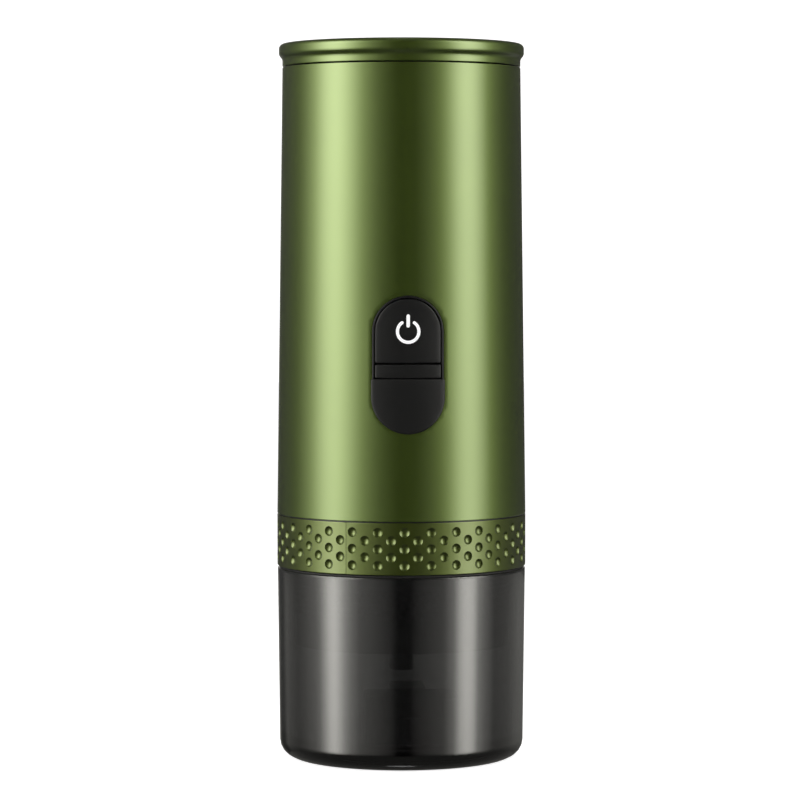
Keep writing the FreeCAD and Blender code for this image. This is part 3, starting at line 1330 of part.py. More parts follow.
def make_lid_plug():
    """The plug that closes the tank's mouth, its seal, and the vent valve under it."""
    foot = SLEEVE_TOP - S.plug_depth
    outside = S.tank_bore - S.plug_play
    groove_foot = foot + S.plug_floor
    groove_top = groove_foot + S.groove_height
    node("lid_plug", stepped("plug", [
        (outside, foot, groove_foot),
        (outside - S.groove_depth, groove_foot, groove_top),
        (outside, groove_top, LID_FOOT),
    ], [(outside - S.plug_wall, groove_foot, LID_FOOT + OVERSHOOT)]))
    node("lid_seal", stepped("plug_seal", [
        (S.tank_bore - S.lid_seal_play, groove_foot, groove_top),
    ], [(outside - S.groove_depth, groove_foot - OVERSHOOT, groove_top + OVERSHOOT)]))
    node("vent_valve", rod("vent", S.vent_radius, foot - S.vent_height, foot))


def make_all():
    """Make every sub-part, from the cup up to the lid."""
    make_cup()
    make_coffee_scoop()
    make_brew_barrel()
    make_coffee_basket()
    make_outlet_spout()
    make_cup_seal()
    make_grip_ring()
    make_sleeve()
    make_brew_socket()
    make_head_gasket()
    make_shower_plate()
    stub_top = make_inlet_nozzle()
    make_inner_frame()
    make_frame_screws()
    make_battery_cells()
    make_cell_tabs()
    make_pump_head()
    make_pump_plunger()
    make_pump_motor()
    make_rotor()
    make_check_valve()
    make_tubes(stub_top)
    make_heater()
    make_water_tank()
    make_tank_mouth()
    make_circuit_board()
    make_tact_switch()
    make_usb_socket()
    make_control_bezel()
    make_hinge_strap()
    make_button()
    make_port_cover()
    make_lid_cap()
    make_lid_plug()


def check_all():
    """Stop if any object failed or any sub-part has no valid solid."""
    for item in DOC.Objects:
        if "Invalid" in item.State or "Error" in item.State:
            raise RuntimeError("failed object " + item.Name)
    for item in NODES:
        if item.Shape.isNull() or not item.Shape.isValid() or not item.Shape.Solids:
            raise RuntimeError("bad shape in " + item.Label)


def write_all():
    """Write each sub-part to its own file."""
    os.makedirs("parts", exist_ok=True)
    for item in NODES:
        item.Shape.exportStep("parts/%s.step" % item.Label)


make_all()
DOC.recompute()
check_all()
write_all()
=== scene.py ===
import logging
import math
from dataclasses import dataclass, replace
from enum import Enum
from typing import Dict, List, Sequence, Tuple

import bmesh
import bpy
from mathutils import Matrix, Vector
from mathutils.geometry import delaunay_2d_cdt


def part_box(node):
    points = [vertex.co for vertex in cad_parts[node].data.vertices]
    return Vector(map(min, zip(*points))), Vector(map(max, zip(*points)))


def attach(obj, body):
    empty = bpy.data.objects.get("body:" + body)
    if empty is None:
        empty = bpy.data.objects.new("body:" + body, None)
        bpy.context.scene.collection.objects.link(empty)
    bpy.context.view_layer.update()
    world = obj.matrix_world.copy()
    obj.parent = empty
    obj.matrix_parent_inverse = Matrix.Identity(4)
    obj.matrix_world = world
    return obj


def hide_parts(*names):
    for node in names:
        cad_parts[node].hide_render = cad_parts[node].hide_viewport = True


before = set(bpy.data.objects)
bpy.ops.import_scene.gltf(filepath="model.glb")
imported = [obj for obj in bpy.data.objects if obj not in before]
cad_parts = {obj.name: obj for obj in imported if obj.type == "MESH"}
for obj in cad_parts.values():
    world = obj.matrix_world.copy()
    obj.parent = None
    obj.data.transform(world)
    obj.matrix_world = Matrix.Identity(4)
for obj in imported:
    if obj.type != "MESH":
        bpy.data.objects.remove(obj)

# The portable espresso maker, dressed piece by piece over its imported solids. Sizes are in
# millimetres in the classes below and become metres where a mesh is made.

MM = 0.001
FRONT = -math.pi / 2
FULL_TURN = 2 * math.pi
TINY = 1e-6
MERGE_DISTANCE = 1e-7
HOLD = 0.3  # from a rounded corner to the ring of points that holds the flat beside it
ARC_STEPS = 5
STRAIGHT = 1e-3  # a turn too small to round
ARC_GAP = 1e-3  # keeps two arcs that meet from ending in one point
CLEAR_SHARE = 0.6  # share of their spacing that loose points keep from a line
HEX_ROW = math.sqrt(3) / 2
FACE_SPACING = 1.1  # between loose points of a plate's face
EDGE_STEPS = 4
SHEET_STEPS, HOLE_STEPS = 128, 12
HOLE_MARGIN = 2.2  # hole radii that a perforated sheet keeps closed at its edge
DRILL_LENGTH = 3.0  # thicknesses of the sheet
COLOUR_SCALE, COLOUR_DETAIL = 60.0, 3.0
ROUGHNESS_SCALE, ROUGHNESS_DETAIL = 140.0, 4.0
GRAIN_DETAIL = 2.0
PANEL_LOW = 95.6  # lowest level of the bezel's rim
PANEL_UNDER_TOP = 1.8  # from the top of the bezel's solid down to that of its rim
WHITE = (1.0, 1.0, 1.0, 1.0)
BLACK = (0.0, 0.0, 0.0, 1.0)
LOG = logging.getLogger("espresso_maker")

Point = Tuple[float, float]
Colour = Tuple[float, float, float]


class Body(Enum):
    """The moving bodies of the frame."""

    CUP = "cup"
    BREW_HEAD = "brew_head"
    MACHINE = "machine"
    BUTTON = "button"
    PORT_COVER = "port_cover"
    ROTOR = "rotor"
    LID = "lid"


class Grain(Enum):
    """How a finish's fine relief runs."""

    EVEN = "even"
    TURNED = "turned"


@dataclass(frozen=True)
class Finish:
    """A surface finish: colour, gloss and fine relief.

    Args:
        name: Name of the material.
        slot: The record's material slot. Not used.
        colour: Base colour, linear.
        roughness: Middle roughness.
        metallic: 1 for bare metal.
        coat: Weight of a clear top layer.
        coat_roughness: Roughness of that layer.
        coat_index: Its index of refraction.
        transmission: Share of light that passes through.
        smoke: How much light the inside takes away, per metre.
        index: Index of refraction.
        grain: Direction of the fine relief.
        grain_scale: Bumps per metre.
        grain_depth: Depth of the fine relief in metres.
        variation: Share by which colour and roughness wander.
        glow: Strength of a painted glow of its own.
    """

    name: str
    slot: str
    colour: Colour
    roughness: float = 0.4
    metallic: float = 0.0
    coat: float = 0.0
    coat_roughness: float = 0.1
    coat_index: float = 1.5
    transmission: float = 0.0
    smoke: float = 0.0
    index: float = 1.5
    grain: Grain = Grain.EVEN
    grain_scale: float = 2600.0
    grain_depth: float = 0.00001
    variation: float = 0.06
    glow: float = 0.0


ANODISED_GREEN = Finish("anodised_green", "green_shell", (0.1, 0.15, 0.023), roughness=0.4,
                        metallic=1.0, coat=1.0, coat_roughness=0.2, coat_index=1.65,
                        grain_scale=5200.0, grain_depth=0.000003, variation=0.04)
# Painted shade: a darker copy of the anodised green, so that the dimpled ring renders darker than
# the sleeve.
SHADED_RING_GREEN = replace(ANODISED_GREEN, name="ring_green_painted_shade", colour=(0.088, 0.118, 0.02),
                     coat_index=1.5)
BLACK_PANEL = Finish("black_panel", "black_panel", (0.006, 0.006, 0.006), roughness=0.38,
                     index=1.4, grain_scale=4200.0, grain_depth=0.000008)
BLACK_PLASTIC = Finish("black_plastic", "black_body", (0.010, 0.010, 0.010), roughness=0.38,
                       grain_scale=3000.0)
BLACK_RUBBER = Finish("black_rubber", "black_rubber", (0.008, 0.008, 0.008), roughness=0.62)
MILKY_SILICONE = Finish("milky_silicone", "white_rubber", (0.62, 0.60, 0.55), roughness=0.48,
                        transmission=0.15, index=1.41)
SMOKED_CLEAR = Finish("smoked_clear", "smoked_clear", (0.2, 0.2, 0.196), roughness=0.04,
                      transmission=1.0, smoke=480.0, coat=1.0, coat_roughness=0.14,
                      grain_depth=0.0, variation=0.02)
BRUSHED_STEEL = Finish("brushed_steel", "steel", (0.56, 0.56, 0.54), roughness=0.28,
                       metallic=1.0, grain=Grain.TURNED, grain_scale=2400.0,
                       grain_depth=0.000006)
BRIGHT_STEEL = Finish("bright_steel", "bright_steel", (0.66, 0.66, 0.65), roughness=0.16,
                      metallic=1.0)
CAST_ALUMINIUM = Finish("cast_aluminium", "aluminium", (0.62, 0.62, 0.62), roughness=0.42,
                        metallic=1.0, grain_scale=1800.0, grain_depth=0.00002)
BRASS = Finish("brass", "brass", (0.68, 0.47, 0.18), roughness=0.24, metallic=1.0,
               grain=Grain.TURNED, grain_depth=0.000005)
CELL_WRAP = Finish("cell_wrap", "cell_wrap", (0.05, 0.16, 0.34), roughness=0.22, coat=0.4)
BOARD_MASK = Finish("board_mask", "board", (0.01, 0.09, 0.035), roughness=0.3, coat=0.3)
# Painted glow: the standby sign gives off a faint white light of its own, so that it renders pure
# white.
WHITE_SIGN_PAINTED_GLOW = Finish("white_lens", "white_lens", (0.8, 0.8, 0.8), roughness=0.35, glow=0.3)


def add_node(tree: bpy.types.NodeTree, kind: str, inputs: Dict[object, object],
             **settings: object) -> bpy.types.Node:
    """Add a node to a tree.

    Args:
        tree: The tree.
        kind: Name of the node's type.
        inputs: Sockets or values by input name or number.
        **settings: Properties of the node.

    Returns:
        The node.
    """
    made = tree.nodes.new(kind)
    for name, value in settings.items():
        setattr(made, name, value)
    for key, value in inputs.items():
        if isinstance(value, bpy.types.NodeSocket):
            tree.links.new(value, made.inputs[key])
        else:
            made.inputs[key].default_value = value
    return made


def node_material(name: str) -> Tuple[bpy.types.Material, bpy.types.NodeTree, bpy.types.Node]:
    """A new material with its tree and its principled shader."""
    material = bpy.data.materials.new(name)
    material.use_nodes = True
    return material, material.node_tree, material.node_tree.nodes["Principled BSDF"]


def set_inputs(shader: bpy.types.Node, values: Dict[str, object]) -> None:
    """Set a shader's own sockets."""
    for name, value in values.items():
        shader.inputs[name].default_value = value


@dataclass
class Coating:
    """A material while it is made.

    Args:
        finish: Its finish.
        tree: Its tree.
        shader: Its principled shader.
        place: Coordinates that its noises run on.
    """

    finish: Finish
    tree: bpy.types.NodeTree
    shader: bpy.types.Node
    place: bpy.types.NodeSocket

    def run_along_turning(self) -> None:
        """Run on distance from the axis and level, so that noise makes rings about the axis."""
        parts = add_node(self.tree, "ShaderNodeSeparateXYZ", {0: self.place}).outputs
        flat = add_node(self.tree, "ShaderNodeCombineXYZ", {"X": parts["X"], "Y": parts["Y"]})
        reach = add_node(self.tree, "ShaderNodeVectorMath", {0: flat.outputs[0]},
                         operation="LENGTH")
        self.place = add_node(self.tree, "ShaderNodeCombineXYZ", {
            "X": reach.outputs["Value"], "Z": parts["Z"]}).outputs[0]

    def noise(self, scale: float, detail: float) -> bpy.types.NodeSocket:
        """A noise of that scale and detail."""
        return add_node(self.tree, "ShaderNodeTexNoise", {
            "Vector": self.place, "Scale": scale, "Detail": detail}).outputs["Fac"]

    def vary_colour(self) -> None:
        """Let the base colour wander a little."""
        mix = add_node(self.tree, "ShaderNodeMix", {}, data_type="RGBA")
        self.tree.links.new(self.noise(COLOUR_SCALE, COLOUR_DETAIL), mix.inputs["Factor"])
        for name, side in (("A", -1.0), ("B", 1.0)):
            share = 1.0 + side * self.finish.variation
            tone = [min(1.0, part * share) for part in self.finish.colour]
            next(s for s in mix.inputs if s.name == name and s.type == "RGBA").default_value = (
                *tone, 1.0)
        result = next(s for s in mix.outputs if s.type == "RGBA")
        self.tree.links.new(result, self.shader.inputs["Base Color"])

    def vary_roughness(self) -> None:
        """Let the roughness wander a little."""
        middle, variation = self.finish.roughness, self.finish.variation
        spread = add_node(self.tree, "ShaderNodeMapRange", {
            "Value": self.noise(ROUGHNESS_SCALE, ROUGHNESS_DETAIL),
            "To Min": middle * (1.0 - variation), "To Max": middle * (1.0 + variation)})
        self.tree.links.new(spread.outputs["Result"], self.shader.inputs["Roughness"])

    def add_relief(self) -> None:
        """Give the surface its fine relief."""
        bump = add_node(self.tree, "ShaderNodeBump", {
            "Height": self.noise(self.finish.grain_scale, GRAIN_DETAIL),
            "Distance": self.finish.grain_depth})
        self.tree.links.new(bump.outputs["Normal"], self.shader.inputs["Normal"])

    def fill_with_smoke(self) -> None:
        """Let the inside of a clear finish take light away, evenly for all colours."""
        smoke = add_node(self.tree, "ShaderNodeVolumeAbsorption", {
            "Color": BLACK, "Density": self.finish.smoke})
        sink = self.tree.nodes["Material Output"].inputs["Volume"]
        self.tree.links.new(smoke.outputs["Volume"], sink)


class Shading:
    """Builds node materials from finishes, each one once."""

    def __init__(self) -> None:
        self._made: Dict[str, bpy.types.Material] = {}

    def material(self, finish: Finish) -> bpy.types.Material:
        """The material of a finish, made at the first call."""
        if finish.name not in self._made:
            self._made[finish.name] = self._make(finish)
        return self._made[finish.name]

    @staticmethod
    def _make(finish: Finish) -> bpy.types.Material:
        """Build one material on Object coordinates.

        Args:
            finish: The finish.

        Returns:
            The new material.
        """
        material, tree, shader = node_material(finish.name)
        place = add_node(tree, "ShaderNodeTexCoord", {}).outputs["Object"]
        coating = Coating(finish, tree, shader, place)
        if finish.grain is Grain.TURNED:
            coating.run_along_turning()
        coating.vary_colour()
        coating.vary_roughness()
        if finish.grain_depth:
            coating.add_relief()
        set_inputs(shader, {
            "Metallic": finish.metallic, "IOR": finish.index,
            "Transmission Weight": finish.transmission, "Coat Weight": finish.coat,
            "Coat Roughness": finish.coat_roughness, "Coat IOR": finish.coat_index,
            "Emission Strength": finish.glow})
        if finish.glow:
            set_inputs(shader, {"Emission Color": WHITE})
        if finish.smoke:
            coating.fill_with_smoke()
        material.diffuse_color = (*finish.colour, 1.0)
        return material


SHADING = Shading()


# Meshes

def new_object(name: str, vertices: Sequence[Sequence[float]],
               faces: Sequence[Sequence[int]]) -> bpy.types.Object:
    """A closed mesh object in metres from places in millimetres, its faces outwards.

    Args:
        name: Name of the piece.
        vertices: Places in millimetres.
        faces: Corner indices of each face.

    Returns:
        The new object, linked to the scene.
    """
    mesh = bpy.data.meshes.new(name)
    mesh.from_pydata([tuple(part * MM for part in vertex) for vertex in vertices], [], faces)
    work = bmesh.new()
    work.from_mesh(mesh)
    bmesh.ops.remove_doubles(work, verts=work.verts, dist=MERGE_DISTANCE)
    bmesh.ops.recalc_face_normals(work, faces=work.faces)
    work.to_mesh(mesh)
    work.free()
    return link(bpy.data.objects.new(name, mesh))


def link(item: bpy.types.Object) -> bpy.types.Object:
    """Put an object into the scene and return it."""
    bpy.context.scene.collection.objects.link(item)
    return item


def settled(item: bpy.types.Object) -> bpy.types.Object:
    """The object with its modifiers applied, as a new plain mesh.

    Args:
        item: An object with modifiers. It is removed.

    Returns:
        A new object of the same name without modifiers.
    """
    bpy.context.view_layer.update()
    graph = bpy.context.evaluated_depsgraph_get()
    mesh = bpy.data.meshes.new_from_object(item.evaluated_get(graph))
    name = item.name
    item.name = name + "_before"
    plain = link(bpy.data.objects.new(name, mesh))
    mesh.name = name
    bpy.data.objects.remove(item)
    return plain


def dressed(item: bpy.types.Object, body: Body, finish: Finish, nodes: Sequence[str] = (),
            sharp: float = 35.0) -> bpy.types.Object:
    """Give a piece its finish, its body and the nodes that it stands for.

    Args:
        item: The piece.
        body: The body it moves with.
        finish: Its finish.
        nodes: Nodes of the frame that it replaces.
        sharp: Edges that turn by more than this many degrees stay sharp.

    Returns:
        The piece.
    """
    mesh = item.data
    mesh.materials.clear()
    mesh.materials.append(SHADING.material(finish))
    mesh.polygons.foreach_set("material_index", [0] * len(mesh.polygons))
    mesh.shade_smooth()
    mesh.set_sharp_from_angle(angle=math.radians(sharp))
    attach(item, body.value)
    if nodes:
        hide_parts(*nodes)
    LOG.info("%s on %s, %d faces", item.name, body.value, len(mesh.polygons))
    return item


@dataclass(frozen=True)
class Span:
    """Where a node lies: its lowest and highest level and its widest reach, in millimetres."""

    foot: float
    top: float
    reach: float

    @classmethod
    def of(cls, node: str) -> "Span":
        """The span of a node of the frame."""
        low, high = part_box(node)
        reach = max(-low.x, high.x, -low.y, high.y)
        return cls(low.z / MM, high.z / MM, reach / MM)


@dataclass(frozen=True)
class Corner:
    """A corner of a turned outline: distance from the axis, level and rounding."""

    radius: float
    level: float
    rounding: float = 0.0


def rounded(corners: Sequence[Corner]) -> List[Point]:
    """A closed outline with its corners rounded and its long sides held by extra points.

    Args:
        corners: The corners in order.

    Returns:
        Points of radius and level.
    """
    runs: List[List[Vector]] = []
    count = len(corners)
    for index, corner in enumerate(corners):
        here = Vector((corner.radius, corner.level))
        before = corners[index - 1]
        after = corners[(index + 1) % count]
        into = (here - Vector((before.radius, before.level))).normalized()
        out = (Vector((after.radius, after.level)) - here).normalized()
        runs.append(arc_points(here, into, out, corner.rounding))
    points: List[Point] = []
    for index, run in enumerate(runs):
        points.extend((p.x, p.y) for p in run)
        start, end = run[-1], runs[(index + 1) % count][0]
        length = (end - start).length
        if length > 4 * HOLD and max(start.x, end.x) > HOLD:
            step = (end - start) * (HOLD / length)
            points.append(tuple(start + step))
            points.append(tuple(end - step))
    return points


def arc_points(corner: Vector, into: Vector, out: Vector, rounding: float) -> List[Vector]:
    """Points that round a corner between two directions.

    Args:
        corner: The sharp corner.
        into: Direction towards it.
        out: Direction away from it.
        rounding: Radius of the rounding.

    Returns:
        The corner itself, or the points of its arc.
    """
    turn = math.atan2(into.x * out.y - into.y * out.x, into.dot(out))
    if rounding <= 0 or abs(turn) < STRAIGHT:
        return [corner]
    start = corner - into * (rounding * math.tan(abs(turn) / 2))
    side = Vector((-into.y, into.x)) * math.copysign(1.0, turn)
    points = []
    for step in range(ARC_STEPS + 1):
        angle = abs(turn) * step / ARC_STEPS
        points.append(start + into * (rounding * math.sin(angle))
                      + side * (rounding * (1 - math.cos(angle))))
    return points


def turned(name: str, corners: Sequence[Corner], segments: int = 192,
           centre: Point = (0.0, 0.0)) -> bpy.types.Object:
    """A solid turned about an upright axis.

    Args:
        name: Name of the piece.
        corners: Closed outline.
        segments: Steps round the axis.
        centre: Where the axis stands.

    Returns:
        The piece.
    """
    outline = rounded(corners)
    vertices: List[Tuple[float, float, float]] = []
    rings: List[List[int]] = []
    for radius, level in outline:
        start = len(vertices)
        if radius < TINY:
            vertices.append((centre[0], centre[1], level))
            rings.append([start] * segments)
            continue
        for step in range(segments):
            angle = FULL_TURN * step / segments
            vertices.append((centre[0] + radius * math.cos(angle),
                             centre[1] + radius * math.sin(angle), level))
        rings.append(list(range(start, start + segments)))
    faces = []
    for ring, following in zip(rings, rings[1:] + rings[:1]):
        for step in range(segments):
            after = (step + 1) % segments
            face = [ring[step], ring[after], following[after], following[step]]
            face = list(dict.fromkeys(face))
            if len(face) > 2:
                faces.append(face)
    return new_object(name, vertices, faces)


def tube(name: str, outside: Corner, inside: Corner, top: float, rounding: float,
         segments: int = 192) -> bpy.types.Object:
    """A plain ring with rounded edges.

    Args:
        name: Name of the piece.
        outside: Its outer foot.
        inside: Its inner foot.
        top: Level of its top.
        rounding: Rounding of the four edges.
        segments: Steps round the axis.

    Returns:
        The piece.
    """
    return turned(name, [
        Corner(inside.radius, inside.level, rounding),
        Corner(outside.radius, outside.level, rounding),
        Corner(outside.radius, top, rounding),
        Corner(inside.radius, top, rounding),
    ], segments)


def drilled(item: bpy.types.Object, tool: bpy.types.Object) -> bpy.types.Object:
    """The piece less a tool, which is removed.

    Args:
        item: The piece.
        tool: The tool.

    Returns:
        The piece with its hole.
    """
    cut = item.modifiers.new("hole", "BOOLEAN")
    cut.operation = "DIFFERENCE"
    cut.solver = "EXACT"
    cut.object = tool
    plain = settled(item)
    bpy.data.objects.remove(tool)
    return plain


def triangles(loops: Sequence[Sequence[Point]], inner: Sequence[Point],
              holes: Sequence[Sequence[Point]] = ()) -> Tuple[List[Point], List[List[int]]]:
    """Fill a flat outline with well-shaped triangles.

    Args:
        loops: Closed lines that triangles keep to.
        inner: Loose points inside.
        holes: Closed lines whose inside stays open.

    Returns:
        The points, in the given order first, and the triangles.
    """
    points: List[Vector] = []
    edges: List[Tuple[int, int]] = []
    for loop in loops:
        start = len(points)
        points.extend(Vector(p) for p in loop)
        count = len(loop)
        edges.extend((start + i, start + (i + 1) % count) for i in range(count))
    points.extend(Vector(p) for p in inner)
    found, _, faces, *_ = delaunay_2d_cdt(points, edges, [], 1, TINY)
    kept = []
    for face in faces:
        middle = sum((found[i] for i in face), Vector((0, 0))) / len(face)
        if not any(inside(middle, hole) for hole in holes):
            kept.append(list(face))
    return [tuple(p) for p in found], kept


def inside(point: Sequence[float], loop: Sequence[Point]) -> bool:
    """Whether a point lies inside a closed line."""
    within = False
    for (x0, y0), (x1, y1) in zip(loop, list(loop[1:]) + [loop[0]]):
        if (y0 > point[1]) != (y1 > point[1]):
            if point[0] < (x1 - x0) * (point[1] - y0) / (y1 - y0) + x0:
                within = not within
    return within


def distance_to(point: Point, loop: Sequence[Point]) -> float:
    """The shortest distance from a point to the points of a closed line."""
    return min(math.dist(point, other) for other in loop)


def grid_points(loop: Sequence[Point], spacing: float, avoid: Sequence[Sequence[Point]] = ()
                ) -> List[Point]:
    """Regular points inside a closed line, clear of it and of other lines.

    Args:
        loop: The closed line.
        spacing: Distance between points.
        avoid: Other lines to keep clear of.

    Returns:
        The points.
    """
    low_x, high_x = min(p[0] for p in loop), max(p[0] for p in loop)
    low_y, high_y = min(p[1] for p in loop), max(p[1] for p in loop)
    clear = spacing * CLEAR_SHARE
    kept = []
    for column in range(1, int((high_x - low_x) / spacing) + 1):
        for row in range(1, int((high_y - low_y) / spacing) + 1):
            point = (low_x + column * spacing, low_y + row * spacing)
            if not inside(point, loop) or distance_to(point, loop) < clear:
                continue
            if any(inside(point, a) or distance_to(point, a) < clear for a in avoid):
                continue
            kept.append(point)
    return kept


# Geometry Nodes

class NodeTree:
    """A Geometry Nodes tree with named inputs, built node by node."""

    def __init__(self, name: str, inputs: Dict[str, float]) -> None:
        self.tree = bpy.data.node_groups.new(name, "GeometryNodeTree")
        self.values = dict(inputs)
        self.keys: Dict[str, str] = {}
        self.tree.interface.new_socket(name="Geometry", in_out="INPUT",
                                       socket_type="NodeSocketGeometry")
        for label, value in inputs.items():
            kind = "NodeSocketInt" if isinstance(value, int) else "NodeSocketFloat"
            socket = self.tree.interface.new_socket(name=label, in_out="INPUT", socket_type=kind)
            self.keys[label] = socket.identifier
        self.tree.interface.new_socket(name="Geometry", in_out="OUTPUT",
                                       socket_type="NodeSocketGeometry")
        self.source = self.tree.nodes.new("NodeGroupInput")
        self.sink = self.tree.nodes.new("NodeGroupOutput")

    def input(self, label: str) -> bpy.types.NodeSocket:
        """The output socket that carries a named input."""
        return self.source.outputs[label]

    def node(self, kind: str, inputs: Dict[object, object], **settings: object) -> bpy.types.Node:
        """Add a node to this tree."""
        return add_node(self.tree, kind, inputs, **settings)

    def position(self) -> bpy.types.NodeSocket:
        """Each point's place."""
        return self.node("GeometryNodeInputPosition", {}).outputs[0]

    def math(self, operation: str, *values: object) -> bpy.types.NodeSocket:
        """The result of a sum on sockets or numbers."""
        made = self.node("ShaderNodeMath", dict(enumerate(values)), operation=operation)
        return made.outputs[0]

    def grow(self, name: str, geometry: bpy.types.NodeSocket, finish: Finish,
             mesh: bpy.types.Mesh) -> bpy.types.Object:
        """End the tree and turn what it makes into a plain piece.

        Args:
            name: Name of the piece.
            geometry: The tree's last geometry.
            finish: Finish that the tree sets.
            mesh: The mesh that the tree starts from.

        Returns:
            The piece.
        """
        whole = self.node("GeometryNodeRealizeInstances", {"Geometry": geometry})
        coated = self.node("GeometryNodeSetMaterial", {"Geometry": whole.outputs[0]})
        coated.inputs["Material"].default_value = SHADING.material(finish)
        self.tree.links.new(coated.outputs[0], self.sink.inputs[0])
        item = link(bpy.data.objects.new(name, mesh))
        grower = item.modifiers.new("grow", "NODES")
        grower.node_group = self.tree
        for label, value in self.values.items():
            grower[self.keys[label]] = value
        return settled(item)


def empty_mesh(name: str) -> bpy.types.Mesh:
    """A mesh with nothing in it, for a tree that starts from nothing."""
    return bpy.data.meshes.new(name)


def perforated(name: str, radius: float, foot: float, top: float, hole: float, pitch: float,
               finish: Finish) -> bpy.types.Object:
    """A round sheet with a lattice of holes.

    Args:
        name: Name of the piece.
        radius: Radius of the sheet.
        foot: Its lower level.
        top: Its upper level.
        hole: Radius of a hole.
        pitch: Distance between holes.
        finish: Its finish.

    Returns:
        The piece.
    """
    count = int(radius / pitch) * 2 + 3
    tree = NodeTree(name + "_tree", {
        "Sheet Radius": radius * MM, "Sheet Thickness": (top - foot) * MM,
        "Hole Radius": hole * MM, "Hole Pitch": pitch * MM, "Hole Margin": (hole * HOLE_MARGIN) * MM,
        "Rows": count, "Level": (foot + top) / 2 * MM,
    })
    sheet = tree.node("GeometryNodeMeshCylinder", {
        "Vertices": SHEET_STEPS, "Radius": tree.input("Sheet Radius"),
        "Depth": tree.input("Sheet Thickness")})
    reach = tree.math("MULTIPLY", tree.input("Hole Pitch"),
                      tree.math("SUBTRACT", tree.input("Rows"), 1.0))
    lattice = tree.node("GeometryNodeMeshGrid", {
        "Size X": reach, "Size Y": tree.math("MULTIPLY", reach, HEX_ROW),
        "Vertices X": tree.input("Rows"), "Vertices Y": tree.input("Rows")})
    spot = tree.node("ShaderNodeSeparateXYZ", {0: tree.position()})
    row = tree.math("DIVIDE", spot.outputs["Y"],
                    tree.math("MULTIPLY", tree.input("Hole Pitch"), HEX_ROW))
    odd = tree.math("FLOORED_MODULO", tree.math("ROUND", row), 2.0)
    shift = tree.node("ShaderNodeCombineXYZ", {
        "X": tree.math("MULTIPLY", odd, tree.math("MULTIPLY", tree.input("Hole Pitch"), 0.5))})
    shifted = tree.node("GeometryNodeSetPosition", {
        "Geometry": lattice.outputs["Mesh"], "Offset": shift.outputs[0]})
    away = tree.node("ShaderNodeVectorMath", {0: tree.position()}, operation="LENGTH")
    too_far = tree.node("FunctionNodeCompare", {
        0: away.outputs["Value"],
        1: tree.math("SUBTRACT", tree.input("Sheet Radius"), tree.input("Hole Margin"))},
        data_type="FLOAT", operation="GREATER_THAN")
    near = tree.node("GeometryNodeDeleteGeometry", {
        "Geometry": shifted.outputs[0], "Selection": too_far.outputs[0]}, domain="POINT")
    depth = tree.math("MULTIPLY", tree.input("Sheet Thickness"), DRILL_LENGTH)
    drill = tree.node("GeometryNodeMeshCylinder", {
        "Vertices": HOLE_STEPS, "Radius": tree.input("Hole Radius"), "Depth": depth})
    drills = tree.node("GeometryNodeInstanceOnPoints", {
        "Points": near.outputs[0], "Instance": drill.outputs["Mesh"]})
    solid = tree.node("GeometryNodeRealizeInstances", {"Geometry": drills.outputs[0]})
    holes = tree.node("GeometryNodeMeshBoolean", {
        "Mesh 1": sheet.outputs["Mesh"], "Mesh 2": solid.outputs[0]},
        operation="DIFFERENCE", solver="EXACT")
    lift = tree.node("ShaderNodeCombineXYZ", {"Z": tree.input("Level")})
    placed = tree.node("GeometryNodeSetPosition", {
        "Geometry": holes.outputs["Mesh"], "Offset": lift.outputs[0]})
    return tree.grow(name, placed.outputs[0], finish, empty_mesh(name))


def joined(name: str, *items: bpy.types.Object) -> bpy.types.Object:
    """Several pieces as one object.

    Args:
        name: Name of the result.
        *items: The pieces, which are removed.

    Returns:
        The joined piece.
    """
    work = bmesh.new()
    for item in items:
        work.from_mesh(item.data)
        bpy.data.objects.remove(item)
    mesh = bpy.data.meshes.new(name)
    work.to_mesh(mesh)
    work.free()
    return link(bpy.data.objects.new(name, mesh))


# The sub-assemblies

@dataclass
class ClearCup:
    """The clear cup and the scoop that is stowed in it.

    Args:
        wall: Thickness of the cup's wall.
        floor: Level of its inside floor.
        foot_rounding: Rounding of the foot.
        taper: How much narrower the foot is than the rim.
        fullness: How far the rim stands out past the solid's flats.
        recess: Depth of the hollow under the foot.
        recess_radius: Radius of that hollow.
        recess_slope: How much wider the hollow is at the foot.
        edge: Rounding of the rim's edges.
        floor_rounding: Rounding where wall and floor meet inside.
        scoop_edge: Rounding of the scoop's edges.
    """

    wall: float = 1.8
    floor: float = 5.2
    foot_rounding: float = 5.0
    taper: float = 0.65
    fullness: float = 0.1
    recess: float = 0.8
    recess_radius: float = 27.0
    recess_slope: float = 0.6
    edge: float = 0.4
    floor_rounding: float = 2.6
    scoop_edge: float = 0.35

    def build(self) -> None:
        """Make the cup and the scoop."""
        span = Span.of("cup")
        rim_radius = span.reach + self.fullness
        foot_radius = rim_radius - self.taper
        bore = foot_radius - self.wall
        cup = turned("clear_cup", [
            Corner(0.0, self.recess),
            Corner(self.recess_radius, self.recess, 0.5),
            Corner(self.recess_radius + self.recess_slope, 0.0, 0.5),
            Corner(foot_radius, 0.0, self.foot_rounding),
            Corner(rim_radius, span.top, self.edge),
            Corner(rim_radius - self.wall, span.top, self.edge),
            Corner(bore, self.floor, self.floor_rounding),
            Corner(0.0, self.floor),
        ], 256)
        dressed(cup, Body.CUP, SMOKED_CLEAR, ["cup"])
        self.build_scoop()

    def build_scoop(self) -> None:
        """Round the scoop's edges."""
        scoop = bpy.data.objects.new("scoop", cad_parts["coffee_scoop"].data.copy())
        link(scoop)
        soften(scoop, self.scoop_edge)
        dressed(settled(scoop), Body.CUP, BLACK_PLASTIC, ["coffee_scoop"])


